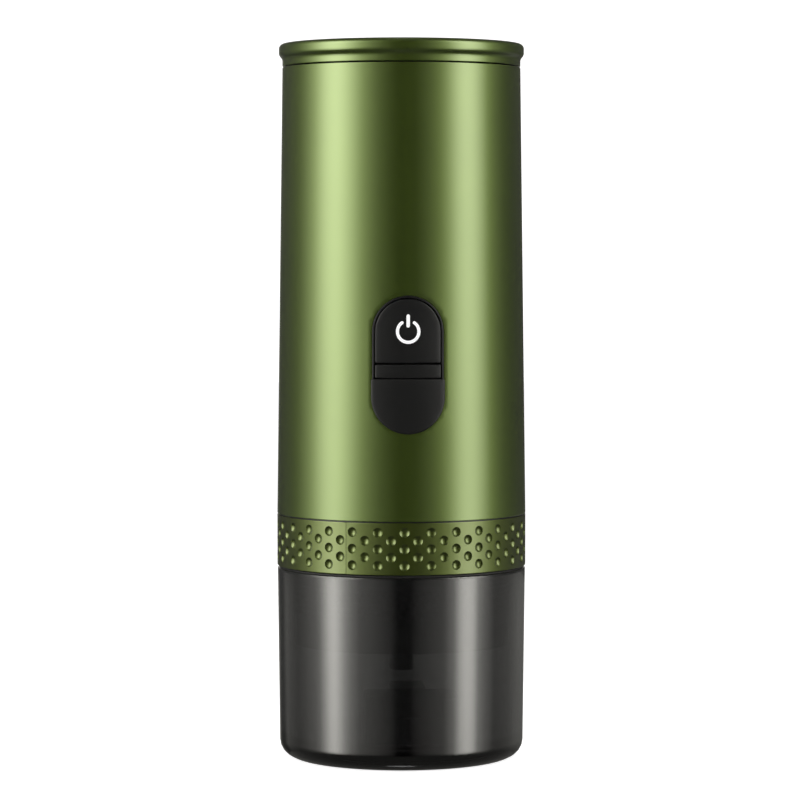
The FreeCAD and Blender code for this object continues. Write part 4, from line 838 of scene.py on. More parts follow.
def soften(item: bpy.types.Object, width: float, angle: float = 40.0) -> None:
    """Merge a copied node's mesh and round its sharp edges.

    Args:
        item: A copy of a node.
        width: Width of the rounding in millimetres.
        angle: Edges that turn by more than this are rounded.
    """
    work = bmesh.new()
    work.from_mesh(item.data)
    bmesh.ops.remove_doubles(work, verts=work.verts, dist=MERGE_DISTANCE)
    bmesh.ops.dissolve_limit(work, angle_limit=math.radians(1.0), verts=work.verts,
                             edges=work.edges)
    bmesh.ops.recalc_face_normals(work, faces=work.faces)
    work.to_mesh(item.data)
    work.free()
    edge = item.modifiers.new("edges", "BEVEL")
    edge.width = width * MM
    edge.segments = 3
    edge.limit_method = "ANGLE"
    edge.angle_limit = math.radians(angle)
    edge.harden_normals = False


@dataclass
class BrewHead:
    """The black barrel with its knurled band, the basket, the spout and the cup's seal.

    Args:
        wall_radius: Outside of the barrel.
        cavity: Radius of its chamber.
        floor_thickness: Its floor.
        band_height: Height of the knurled band.
        band_columns: Knurls round the band.
        band_rows: Rows of knurls.
        knurl: How far a knurl stands out.
        drain: Radius of the hole in its floor.
        flange: Height of the flange that rests on the seal.
        flange_step: How far the neck lies in from the flange.
        neck_step: How far the neck lies in from the barrel.
        band_gap: Gap between band and flange.
        sheet: Sheet of the basket.
        basket_fit: Gap round the basket.
        brim: Height of the basket's brim.
        hole: Radius of a hole in the basket's floor.
        hole_pitch: Distance between these holes.
        spout_bore: Inside radius of the spout.
        spout_wall: Its wall.
        spout_flange: Height of its flange.
        seal_lip: Width of the seal's lip inside the cup.
    """

    wall_radius: float = 31.0
    cavity: float = 22.6
    floor_thickness: float = 5.0
    band_height: float = 8.4
    band_columns: int = 96
    band_rows: int = 5
    knurl: float = 0.55
    drain: float = 3.0
    flange: float = 4.5
    flange_step: float = 3.6
    neck_step: float = 1.6
    band_gap: float = 0.3
    sheet: float = 0.6
    basket_fit: float = 0.6
    brim: float = 0.8
    hole: float = 0.45
    hole_pitch: float = 2.0
    spout_bore: float = 1.5
    spout_wall: float = 2.0
    spout_flange: float = 2.0
    seal_lip: float = 0.7

    def build(self) -> None:
        """Make the pieces of the brew head."""
        self.build_barrel()
        self.build_basket()
        self.build_spout()
        self.build_seal()

    def build_barrel(self) -> None:
        """Turn the barrel and set the knurls on its band."""
        span = Span.of("brew_barrel")
        flange_top = Span.of("cup_seal").top
        seal_bore = span.reach
        neck = min(seal_bore - self.flange_step, self.wall_radius - self.neck_step)
        flange_foot = flange_top - self.flange
        floor_top = span.foot + self.floor_thickness
        barrel = turned("barrel", [
            Corner(self.drain, span.foot),
            Corner(self.wall_radius, span.foot, 0.5),
            Corner(self.wall_radius, flange_foot, 0.3),
            Corner(seal_bore, flange_foot, 0.4),
            Corner(seal_bore, flange_top, 0.3),
            Corner(neck, flange_top, 0.4),
            Corner(neck, span.top, 0.4),
            Corner(self.cavity, span.top, 0.3),
            Corner(self.cavity, floor_top, 0.6),
            Corner(self.drain, floor_top),
        ])
        dressed(barrel, Body.BREW_HEAD, BLACK_PLASTIC, ["brew_barrel"])
        knurls = self.grow_knurls(flange_foot - self.band_gap - self.band_height)
        dressed(knurls, Body.BREW_HEAD, BLACK_PLASTIC, sharp=20.0)

    def grow_knurls(self, foot: float) -> bpy.types.Object:
        """Set rows of small pyramids round the barrel.

        Args:
            foot: Level of the band's foot.

        Returns:
            The knurls as one piece.
        """
        width = FULL_TURN * self.wall_radius / self.band_columns
        tree = NodeTree("knurl_tree", {
            "Columns": self.band_columns, "Rows": self.band_rows,
            "Band Radius": self.wall_radius * MM, "Band Foot": foot * MM,
            "Row Height": self.band_height / self.band_rows * MM,
            "Knurl Width": width * MM, "Knurl Height": self.knurl * MM,
        })
        cells = tree.math("MULTIPLY", tree.input("Columns"), tree.input("Rows"))
        line = tree.node("GeometryNodeMeshLine", {"Count": cells})
        index = tree.node("GeometryNodeInputIndex", {}).outputs[0]
        row = tree.math("FLOOR", tree.math("DIVIDE", index, tree.input("Columns")))
        column = tree.math("FLOORED_MODULO", index, tree.input("Columns"))
        stagger = tree.math("MULTIPLY", tree.math("FLOORED_MODULO", row, 2.0), 0.5)
        angle = tree.math("MULTIPLY", tree.math("ADD", column, stagger),
                          tree.math("DIVIDE", FULL_TURN, tree.input("Columns")))
        level = tree.math("ADD", tree.input("Band Foot"), tree.math(
            "MULTIPLY", tree.input("Row Height"), tree.math("ADD", row, 0.5)))
        place = tree.node("ShaderNodeCombineXYZ", {
            "X": tree.math("MULTIPLY", tree.input("Band Radius"), tree.math("COSINE", angle)),
            "Y": tree.math("MULTIPLY", tree.input("Band Radius"), tree.math("SINE", angle)),
            "Z": level})
        spots = tree.node("GeometryNodeSetPosition", {
            "Geometry": line.outputs[0], "Position": place.outputs[0]})
        outwards = tree.node("ShaderNodeCombineXYZ", {
            "X": tree.math("COSINE", angle), "Y": tree.math("SINE", angle)})
        turn = tree.node("FunctionNodeAlignRotationToVector", {
            "Vector": outwards.outputs[0]}, axis="Z")
        stud = tree.node("GeometryNodeMeshCone", {
            "Vertices": 4, "Radius Top": 0.0,
            "Radius Bottom": tree.math("MULTIPLY", tree.input("Knurl Width"), 0.62),
            "Depth": tree.input("Knurl Height")})
        studs = tree.node("GeometryNodeInstanceOnPoints", {
            "Points": spots.outputs[0], "Instance": stud.outputs["Mesh"],
            "Rotation": turn.outputs[0]})
        return tree.grow("barrel_knurls", studs.outputs[0], BLACK_PLASTIC,
                         empty_mesh("barrel_knurls"))

    def build_basket(self) -> None:
        """Turn the steel basket and lay its perforated floor."""
        span = Span.of("coffee_basket")
        radius, sheet = self.cavity - self.basket_fit, self.sheet
        brim = span.top - self.brim
        wall = turned("basket_wall", [
            Corner(radius - sheet, span.foot, 0.2),
            Corner(radius, span.foot, 0.2),
            Corner(radius, brim, 0.3),
            Corner(span.reach, brim, 0.3),
            Corner(span.reach, span.top, 0.35),
            Corner(radius - sheet, span.top, 0.35),
        ])
        dressed(wall, Body.BREW_HEAD, BRUSHED_STEEL, ["coffee_basket"])
        floor = perforated("basket_floor", radius - sheet, span.foot, span.foot + 0.5,
                           self.hole, self.hole_pitch, BRUSHED_STEEL)
        dressed(floor, Body.BREW_HEAD, BRUSHED_STEEL)

    def build_spout(self) -> None:
        """Turn the spout under the barrel."""
        span = Span.of("outlet_spout")
        foot = Span.of("brew_barrel").foot
        bore, outside = self.spout_bore, self.spout_bore + self.spout_wall
        flange_foot = foot - self.spout_flange
        spout = turned("spout", [
            Corner(bore, span.foot, 0.3),
            Corner(outside, span.foot, 0.5),
            Corner(outside, flange_foot, 0.6),
            Corner(span.reach, flange_foot, 0.4),
            Corner(span.reach, foot, 0.2),
            Corner(self.drain, foot),
            Corner(self.drain, span.top),
            Corner(bore, span.top, 0.2),
        ], 64)
        dressed(spout, Body.BREW_HEAD, BLACK_PLASTIC, ["outlet_spout"])

    def build_seal(self) -> None:
        """Turn the seal between cup and barrel."""
        span = Span.of("cup_seal")
        rim = Span.of("cup").top
        bore = Span.of("brew_barrel").reach
        seal = turned("seal", [
            Corner(bore, span.foot, 0.1),
            Corner(bore + self.seal_lip, span.foot, 0.2),
            Corner(bore + self.seal_lip, rim),
            Corner(span.reach, rim, 0.1),
            Corner(span.reach, span.top, 0.1),
            Corner(bore, span.top),
        ])
        dressed(seal, Body.BREW_HEAD, BLACK_RUBBER, ["cup_seal"])


@dataclass
class GripRing:
    """The ring of dimples that the hand turns the machine by.

    Args:
        wall: Thickness of the ring.
        pairs: Pairs of columns round it.
        dimple: Radius of a dimple's mouth.
        depth: Depth of a dimple.
        pitch: Distance between dimples in a column.
        edge: Rounding of the ring's edges.
        hold: How near to the edges and the butt line the flat face is held.
        butt: Depth of the line where the ring's band was joined.
        rim_points: Points round a dimple's mouth.
        collar: How far outside its mouth the face is held.
        bowls: Shares of the dimple's radius at which its bowl has points.
        columns: Steps along a tile.
        rows: Steps up a tile.
        turn: Turn of the pattern against the panel, in degrees.
        weld: Distance at which neighbouring tiles are joined, in metres.
    """

    wall: float = 2.4
    pairs: int = 30
    dimple: float = 1.4
    depth: float = 0.6
    pitch: float = 4.65
    edge: float = 0.16
    hold: float = 0.08
    butt: float = 0.1
    rim_points: int = 28
    collar: float = 0.16
    bowls: Tuple[float, ...] = (0.84, 0.66, 0.46, 0.24)
    columns: int = 12
    rows: int = 24
    turn: float = -1.7
    weld: float = 0.000002

    def build(self) -> None:
        """Make one tile with a column of three and a column of two, and repeat it round."""
        span = Span.of("grip_ring")
        radius = span.reach
        width = FULL_TURN * radius / self.pairs
        tile = self.tile(width, span)
        tree = NodeTree("ring_tree", {
            "Tiles": self.pairs, "Tile Width": width * MM, "Ring Radius": radius * MM,
            "Start Angle": FRONT + math.radians(self.turn) - FULL_TURN / self.pairs / 4,
        })
        line = tree.node("GeometryNodeMeshLine", {
            "Count": tree.input("Tiles"),
            "Offset": tree.node("ShaderNodeCombineXYZ",
                                {"X": tree.input("Tile Width")}).outputs[0]})
        tiles = tree.node("GeometryNodeInstanceOnPoints", {
            "Points": line.outputs[0], "Instance": tree.input("Geometry")})
        strip = tree.node("GeometryNodeRealizeInstances", {"Geometry": tiles.outputs[0]})
        spot = tree.node("ShaderNodeSeparateXYZ", {0: tree.position()})
        angle = tree.math("ADD", tree.input("Start Angle"),
                          tree.math("DIVIDE", spot.outputs["X"], tree.input("Ring Radius")))
        reach = tree.math("SUBTRACT", tree.input("Ring Radius"), spot.outputs["Y"])
        bent = tree.node("ShaderNodeCombineXYZ", {
            "X": tree.math("MULTIPLY", reach, tree.math("COSINE", angle)),
            "Y": tree.math("MULTIPLY", reach, tree.math("SINE", angle)),
            "Z": spot.outputs["Z"]})
        ring = tree.node("GeometryNodeSetPosition", {
            "Geometry": strip.outputs[0], "Position": bent.outputs[0]})
        closed = tree.node("GeometryNodeMergeByDistance", {
            "Geometry": ring.outputs[0], "Distance": self.weld})
        item = tree.grow("dimpled_ring", closed.outputs[0], SHADED_RING_GREEN, tile)
        seam = tree.values["Start Angle"] - 2 * FULL_TURN / self.pairs
        self.press_butt_line(item, seam, radius)
        dressed(item, Body.MACHINE, SHADED_RING_GREEN, ["grip_ring"], 30.0)

    def press_butt_line(self, item: bpy.types.Object, angle: float, radius: float) -> None:
        """Press the fine upright line into the ring where its band was joined.

        Args:
            item: The ring.
            angle: Where the line lies, on the seam of two tiles.
            radius: The ring's outside.
        """
        along = Vector((math.cos(angle), math.sin(angle)))
        for vertex in item.data.vertices:
            place = Vector((vertex.co.x, vertex.co.y)) / MM
            off = abs(place.x * along.y - place.y * along.x)
            if off < self.hold / 4 and radius - self.edge < place.dot(along):
                place -= along * self.butt
                vertex.co.x, vertex.co.y = place.x * MM, place.y * MM

    def tile(self, width: float, span: Span) -> bpy.types.Mesh:
        """One flat tile of the ring: along X, its depth along Y, its level along Z.

        Args:
            width: Length of the tile.
            span: Levels of the ring.

        Returns:
            The tile's mesh in metres.
        """
        foot, top = span.foot + self.edge, span.top - self.edge
        middle = (span.foot + span.top) / 2
        steps = self.columns
        across = [width * step / steps for step in range(steps + 1)]
        rows = [foot + (top - foot) * row / self.rows for row in range(self.rows + 1)]
        border = [(x, foot) for x in across[:-1]] + [(width, z) for z in rows[:-1]]
        border += [(x, top) for x in across[:0:-1]] + [(0.0, z) for z in rows[:0:-1]]
        centres = [(width / 4, middle + row * self.pitch) for row in (-1, 0, 1)]
        centres += [(width * 3 / 4, middle + row * self.pitch) for row in (-0.5, 0.5)]
        rims, inner = [], []
        for level in (foot + self.hold, top - self.hold):
            inner.extend((x, level) for x in across[1:-1])
        for x in (self.hold, width - self.hold):
            inner.extend((x, level) for level in [foot + self.hold, *rows[1:-1], top - self.hold])
        for centre in centres:
            rims.append(self.circle(centre, self.dimple))
            inner.extend(self.circle(centre, self.dimple + self.collar))
            for share in self.bowls:
                inner.extend(self.circle(centre, self.dimple * share))
            inner.append(centre)
        points, faces = triangles([border, *rims], inner)
        vertices = [(x, self.sink((x, z), centres), z) for x, z in points]
        edge = self.edge
        frame_rows = [(edge * 0.3, top + edge * 0.7), (edge, span.top), (self.wall, span.top),
                      (self.wall, span.foot), (edge, span.foot),
                      (edge * 0.3, foot - edge * 0.7)]
        chain = [[self.index_of(vertices, (x, 0.0, top)) for x in across]]
        for depth, level in frame_rows:
            start = len(vertices)
            vertices.extend((x, depth, level) for x in across)
            chain.append(list(range(start, start + len(across))))
        chain.append([self.index_of(vertices, (x, 0.0, foot)) for x in across])
        for lower, upper in zip(chain, chain[1:]):
            for step in range(steps):
                faces.append([lower[step], lower[step + 1], upper[step + 1], upper[step]])
        mesh = bpy.data.meshes.new("ring_tile")
        mesh.from_pydata([tuple(part * MM for part in v) for v in vertices], [], faces)
        return mesh

    def circle(self, centre: Point, radius: float) -> List[Point]:
        """Points round a circle."""
        count = self.rim_points
        return [(centre[0] + radius * math.cos(FULL_TURN * i / count),
                 centre[1] + radius * math.sin(FULL_TURN * i / count)) for i in range(count)]

    def sink(self, point: Point, centres: Sequence[Point]) -> float:
        """How deep a point of the tile lies.

        Args:
            point: The point.
            centres: Middles of the dimples.

        Returns:
            Its depth, nothing outside the dimples.
        """
        ball = (self.dimple ** 2 + self.depth ** 2) / (2 * self.depth)
        away = min(math.dist(point, centre) for centre in centres)
        if away >= self.dimple:
            return 0.0
        return math.sqrt(ball ** 2 - away ** 2) - (ball - self.depth)

    @staticmethod
    def index_of(vertices: Sequence[Sequence[float]], place: Sequence[float]) -> int:
        """The number of the vertex nearest to a place."""
        return min(range(len(vertices)), key=lambda i: math.dist(vertices[i], place))


@dataclass(frozen=True)
class Taper:
    """The sleeve's outside, at an offset: a cone between two levels."""

    foot: float
    top: float
    foot_radius: float
    top_radius: float
    offset: float = 0.0

    def radius(self, level: float) -> float:
        """The radius at a level."""
        share = (level - self.foot) / (self.top - self.foot)
        return self.foot_radius + (self.top_radius - self.foot_radius) * share + self.offset

    def forward(self, across: float, level: float) -> float:
        """How far in front of the axis the surface lies."""
        return math.sqrt(self.radius(level) ** 2 - across ** 2)


@dataclass(frozen=True)
class Level:
    """A flat face that stands upright in front of the axis."""

    ahead: float

    def forward(self, across: float, level: float) -> float:
        """How far in front of the axis the face lies, the same everywhere."""
        return self.ahead


def stadium(half: float, low: float, high: float, spacing: float = 0.6) -> List[Point]:
    """An upright stadium as a closed line.

    Args:
        half: Half of its width.
        low: Its lowest level.
        high: Its highest level.
        spacing: Distance between points.

    Returns:
        Points of across and level, anticlockwise.
    """
    return rounded_rectangle(-half, half, low, high, (half, half, half, half), spacing)


def rounded_rectangle(left: float, right: float, low: float, high: float,
                      rounding: Tuple[float, float, float, float],
                      spacing: float = 0.6) -> List[Point]:
    """A rectangle with rounded corners as a closed line with even points.

    Args:
        left: Its left side.
        right: Its right side.
        low: Its lower side.
        high: Its upper side.
        rounding: Radii at lower left, lower right, upper right and upper left.
        spacing: Distance between points.

    Returns:
        Points, anticlockwise.
    """
    corners = [(left, low, 1, 1, math.pi), (right, low, -1, 1, math.pi * 1.5),
               (right, high, -1, -1, 0.0), (left, high, 1, -1, math.pi / 2)]
    points: List[Point] = []
    for (x, z, inwards, upwards, start), radius in zip(corners, rounding):
        centre = (x + inwards * radius, z + upwards * radius)
        steps = max(2, round(radius * math.pi / 2 / spacing))
        for step in range(steps + 1):
            angle = start + math.pi / 2 * step / steps
            points.append((centre[0] + radius * math.cos(angle),
                           centre[1] + radius * math.sin(angle)))
    even: List[Point] = []
    for here, after in zip(points, points[1:] + points[:1]):
        even.append(here)
        gap = math.dist(here, after)
        for step in range(1, round(gap / spacing)):
            share = step / round(gap / spacing)
            even.append((here[0] + (after[0] - here[0]) * share,
                         here[1] + (after[1] - here[1]) * share))
    return [p for i, p in enumerate(even) if math.dist(p, even[i - 1]) > 1e-4]


def inset(loop: Sequence[Point], distance: float) -> List[Point]:
    """A closed anticlockwise line moved inwards.

    Args:
        loop: The line.
        distance: How far inwards.

    Returns:
        The moved line, point for point.
    """
    moved = []
    for before, here, after in zip([loop[-1], *loop[:-1]], loop, [*loop[1:], loop[0]]):
        along = (Vector(after) - Vector(before)).normalized()
        moved.append((here[0] - along.y * distance, here[1] + along.x * distance))
    return moved


def plate(name: str, outline: Sequence[Point], face: Taper, back: float, rounding: float,
          hole: Sequence[Point] = ()) -> bpy.types.Object:
    """A plate whose face follows the sleeve and whose edge is rounded.

    Args:
        name: Name of the piece.
        outline: Its outline as across and level.
        face: The surface its face follows.
        back: Where its flat back lies, in front of the axis.
        rounding: Rounding of the face's edge.
        hole: Outline of an opening right through it.

    Returns:
        The piece.
    """
    vertices: List[Tuple[float, float, float]] = []
    faces: List[List[int]] = []
    steps = EDGE_STEPS
    lines = [(list(outline), 1)] + ([(list(hole), -1)] if hole else [])
    fronts: List[List[int]] = []
    backs: List[List[int]] = []
    for line, side in lines:
        chain = []
        for step in range(steps + 1):
            angle = math.pi / 2 * step / steps
            moved = inset(line, side * rounding * (1 - math.sin(angle)))
            sunk = rounding * (1 - math.cos(angle))
            start = len(vertices)
            vertices.extend((x, -(face.forward(x, z) - sunk), z) for x, z in moved)
            chain.append(list(range(start, start + len(moved))))
        start = len(vertices)
        vertices.extend((x, -back, z) for x, z in line)
        chain.append(list(range(start, start + len(line))))
        for ring, following in zip(chain, chain[1:]):
            count = len(ring)
            for i in range(count):
                j = (i + 1) % count
                faces.append([ring[i], ring[j], following[j], following[i]])
        fronts.append(chain[0])
        backs.append(chain[-1])
    for rings, is_front in ((fronts, True), (backs, False)):
        loops = [[(vertices[i][0], vertices[i][2]) for i in ring] for ring in rings]
        spare = grid_points(loops[0], FACE_SPACING, loops[1:]) if is_front else []
        points, cells = triangles(loops, spare, loops[1:])
        numbers = [i for ring in rings for i in ring]
        for x, z in points[len(numbers):]:
            numbers.append(len(vertices))
            vertices.append((x, -(face.forward(x, z) if is_front else back), z))
        faces.extend([numbers[i] for i in cell] for cell in cells)
    return new_object(name, vertices, faces)


@dataclass
class Shell:
    """The tapered green sleeve with the cut-out for the control panel.

    Args:
        wall: Thickness of the sleeve.
        columns: Steps round it.
        patch_columns: Steps from the panel's middle to the edge of its patch.
        margin: Height of the patch above and below the cut-out.
        edge: Rounding of the sleeve's edges.
        fit: Clearance of the bezel in the cut-out.
        row_height: Height of a row of faces beside the cut-out.
        spacing: Distance between loose points of the patch.
    """

    wall: float = 1.2
    columns: int = 192
    patch_columns: int = 11
    margin: float = 6.0
    edge: float = 0.18
    fit: float = 0.05
    row_height: float = 2.0
    spacing: float = 1.3

    def build(self, face: Taper, outline: Sequence[Point]) -> None:
        """Make the sleeve.

        Args:
            face: Its outside.
            outline: Outline of the bezel.
        """
        hole = inset(outline, -self.fit)
        low = min(z for _, z in hole) - self.margin
        high = max(z for _, z in hole) + self.margin
        rows = round((high - low) / self.row_height)
        levels = [face.foot, face.foot + HOLD]
        levels += [low + (high - low) * row / rows for row in range(rows + 1)]
        levels += [face.top - HOLD, face.top]
        step = FULL_TURN / self.columns
        vertices: List[Tuple[float, float, float]] = []
        faces: List[List[int]] = []
        for level in levels:
            for column in range(self.columns):
                angle = FRONT + column * step
                vertices.append(self.spot(face, angle, level))
        for row in range(len(levels) - 1):
            patched = low - TINY < levels[row] < high - TINY
            for column in range(self.columns):
                near = column < self.patch_columns or column >= self.columns - self.patch_columns
                if patched and near:
                    continue
                after = (column + 1) % self.columns
                base, above = row * self.columns, (row + 1) * self.columns
                faces.append([base + column, base + after, above + after, above + column])
        self.patch(face, hole, levels[2:-2], step, vertices, faces)
        sheet = new_object("sleeve_shell", vertices, faces)
        thick = sheet.modifiers.new("wall", "SOLIDIFY")
        thick.thickness = self.wall * MM
        thick.offset = -1.0
        edge = sheet.modifiers.new("edges", "BEVEL")
        edge.width = self.edge * MM
        edge.segments = 2
        edge.limit_method = "ANGLE"
        edge.angle_limit = math.radians(50.0)
        dressed(settled(sheet), Body.MACHINE, ANODISED_GREEN, ["sleeve"])

    @staticmethod
    def spot(face: Taper, angle: float, level: float) -> Tuple[float, float, float]:
        """A place on the sleeve's outside."""
        radius = face.radius(level)
        return (radius * math.cos(angle), radius * math.sin(angle), level)

    def patch(self, face: Taper, hole: Sequence[Point], levels: Sequence[float], step: float,
              vertices: List[Tuple[float, float, float]], faces: List[List[int]]) -> None:
        """Fill the stretch round the cut-out.

        Args:
            face: The sleeve's outside.
            hole: Outline of the cut-out.
            levels: Levels of the rows beside the patch.
            step: Angle between columns.
            vertices: The mesh's places, added to.
            faces: The mesh's faces, added to.
        """
        scale = face.foot_radius
        reach = self.patch_columns
        angles = [column * step for column in range(-reach, reach + 1)]
        border = [(a * scale, levels[0]) for a in angles[:-1]]
        border += [(angles[-1] * scale, z) for z in levels[:-1]]
        border += [(a * scale, levels[-1]) for a in angles[:0:-1]]
        border += [(angles[0] * scale, z) for z in levels[:0:-1]]
        rim = [(math.asin(x / face.radius(z)) * scale, z) for x, z in hole]
        spare = grid_points(border, self.spacing, [rim])
        points, cells = triangles([border, rim], spare, [rim])
        start = len(vertices)
        for along, level in points:
            vertices.append(self.spot(face, FRONT + along / scale, level))
        faces.extend([start + i for i in cell] for cell in cells)


@dataclass
class ControlPanel:
    """The black oval: bezel, power button with its symbol, strap and port cover.

    Args:
        half: Half of the bezel's width.
        rim: Width of the bezel's rim.
        gap: Gap between the rim and what it holds.
        split: Half of the gap under the button.
        hinge: Half of the groove of the living hinge.
        hinge_level: Level of the living hinge.
        split_level: Level of the gap under the button.
        strap_proud: How far the strap stands out.
        cover_proud: How far the port cover stands out.
        cover_half: Half of the port cover's width.
        button_sunk: How far the button's face lies in.
        depth: From the bezel's foremost point back to its floor.
        floor_wall: Thickness of that floor.
        tray: How far the floor reaches past the bezel.
        corner: Rounding of the button's and the cover's lower corners.
        symbol_proud: How far the symbol stands out of the button.
        skin_lift: How far the cover's back lies off the sleeve's face.
        skin_depth: Depth of its skin's edge.
        plug_depth: Depth of its plug.
        post_hole: Radius of the hole for the button's post.
        socket_fit: Clearance round the charging socket.
    """

    half: float = 10.0
    rim: float = 0.55
    gap: float = 0.25
    split: float = 0.2
    hinge: float = 0.1
    hinge_level: float = 110.8
    split_level: float = 114.9
    strap_proud: float = 0.3
    cover_proud: float = 0.45
    cover_half: float = 10.35
    button_sunk: float = 0.1
    depth: float = 4.8
    floor_wall: float = 1.3
    tray: float = 1.6
    corner: float = 0.5
    symbol_proud: float = 0.012
    skin_lift: float = 0.1
    skin_depth: float = 1.62
    plug_depth: float = 2.0
    post_hole: float = 3.3
    socket_fit: float = 0.2

    def build(self, face: Taper, low: float, high: float) -> None:
        """Make the panel's pieces.

        Args:
            face: The sleeve's outside.
            low: Lowest level of the bezel's rim.
            high: Highest level of the bezel's rim.
        """
        held = self.half - self.rim - self.gap
        near = -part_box("control_bezel")[0].y / MM
        floor = near - self.depth
        outline = stadium(self.half, low, high)
        opening = stadium(self.half - self.rim, low + self.rim, high - self.rim)
        bezel = plate("bezel", outline, face, floor, 0.14, opening)
        dressed(bezel, Body.MACHINE, BLACK_PANEL, ["control_bezel"])
        tray_line = stadium(self.half + self.tray, low - self.tray, high + self.tray)
        tray = plate("bezel_floor", tray_line, Level(floor), floor - self.floor_wall, 0.1)
        dressed(self.open_floor(tray, floor), Body.MACHINE, BLACK_PANEL)
        self.build_button(face, held, high, floor)
        strap = rounded_rectangle(-held, held, self.hinge_level + self.hinge,
                                  self.split_level - self.split, (0.4,) * 4, 0.5)
        strap_face = self.raised(face, self.strap_proud)
        dressed(plate("strap", strap, strap_face, floor + 0.02, 0.25), Body.MACHINE,
                BLACK_PANEL, ["port_cover_strap"])
        self.build_cover(face, held, low)

    @staticmethod
    def raised(face: Taper, offset: float) -> Taper:
        """The sleeve's outside at an offset."""
        return Taper(face.foot, face.top, face.foot_radius, face.top_radius, offset)

    def open_floor(self, tray: bpy.types.Object, floor: float) -> bpy.types.Object:
        """Cut the button's hole and the socket's slot into the bezel's floor.

        Args:
            tray: The floor.
            floor: Where it lies, in front of the axis.

        Returns:
            The floor with its openings.
        """
        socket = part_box("usb_socket")
        half_high = (socket[1].z - socket[0].z) / 2 / MM + self.socket_fit
        half_wide = (socket[1].x - socket[0].x) / 2 / MM + self.socket_fit
        level = (socket[1].z + socket[0].z) / 2 / MM
        slot = rounded_rectangle(-half_wide, half_wide, level - half_high, level + half_high,
                                 (half_high,) * 4, 0.3)
        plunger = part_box("switch_plunger")
        switch = (plunger[0].z + plunger[1].z) / 2 / MM
        post = stadium(self.post_hole, switch - self.post_hole, switch + self.post_hole, 0.4)
        for name, line in (("slot_tool", slot), ("post_tool", post)):
            tray = drilled(tray, plate(name, line, Level(floor + 2.0), floor - 4.0, 0.01))
        return tray

    def build_button(self, face: Taper, held: float, high: float, floor: float) -> None:
        """Make the button and its symbol.

        Args:
            face: The sleeve's outside.
            held: Half of the width inside the rim.
            high: Highest level of the rim.
            floor: Where the bezel's floor lies, in front of the axis.
        """
        top = high - self.rim - self.gap
        outline = rounded_rectangle(-held, held, self.split_level + self.split, top,
                                    (self.corner, self.corner, held - ARC_GAP, held - ARC_GAP), 0.5)
        surface = self.raised(face, -self.button_sunk)
        button = plate("power_button", outline, surface, floor + 1.0, 0.3)
        dressed(button, Body.BUTTON, BLACK_PANEL, ["button_cap"])
        PowerSymbol().build(self.raised(face, -self.button_sunk + self.symbol_proud))

    def build_cover(self, face: Taper, held: float, low: float) -> None:
        """Make the port cover: a skin over the rim with a plug behind it.

        Args:
            face: The sleeve's outside.
            held: Half of the width inside the rim.
            low: Lowest level of the bezel's rim.
        """
        top = self.hinge_level - self.hinge
        half = self.cover_half
        cover_low = low - (half - self.half)
        skin_line = rounded_rectangle(-half, half, cover_low, top,
                                      (half, half, self.corner, self.corner), 0.5)
        surface = self.raised(face, self.cover_proud)
        skin = plate("cover_skin", skin_line, surface, face.radius(top) - self.skin_depth, 0.35)
        middle = self.raised(face, self.skin_lift)
        plug_half = held - 0.25
        plug_line = rounded_rectangle(-plug_half, plug_half, low + self.rim + 0.5, top,
                                      (plug_half, plug_half, 0.3, 0.3), 0.5)
        plug = plate("cover_plug", plug_line, middle, face.radius(top) - self.plug_depth, 0.05)
        cover = joined("port_cover", self.hollowed(skin, face), plug)
        dressed(cover, Body.PORT_COVER, BLACK_PANEL, ["port_cover_flap"])

    def hollowed(self, skin: bpy.types.Object, face: Taper) -> bpy.types.Object:
        """Take the sleeve's space out of the cover's skin.

        Args:
            skin: The skin with a flat back.
            face: The sleeve's outside.

        Returns:
            A skin that lies on the sleeve's surface.
        """
        work = bmesh.new()
        work.from_mesh(skin.data)
        lift = self.raised(face, self.skin_lift)
        for vertex in work.verts:
            x, z = vertex.co.x / MM, vertex.co.z / MM
            behind = -lift.forward(x, z) * MM
            if vertex.co.y > behind:
                vertex.co.y = behind
        work.to_mesh(skin.data)
        work.free()
        return skin


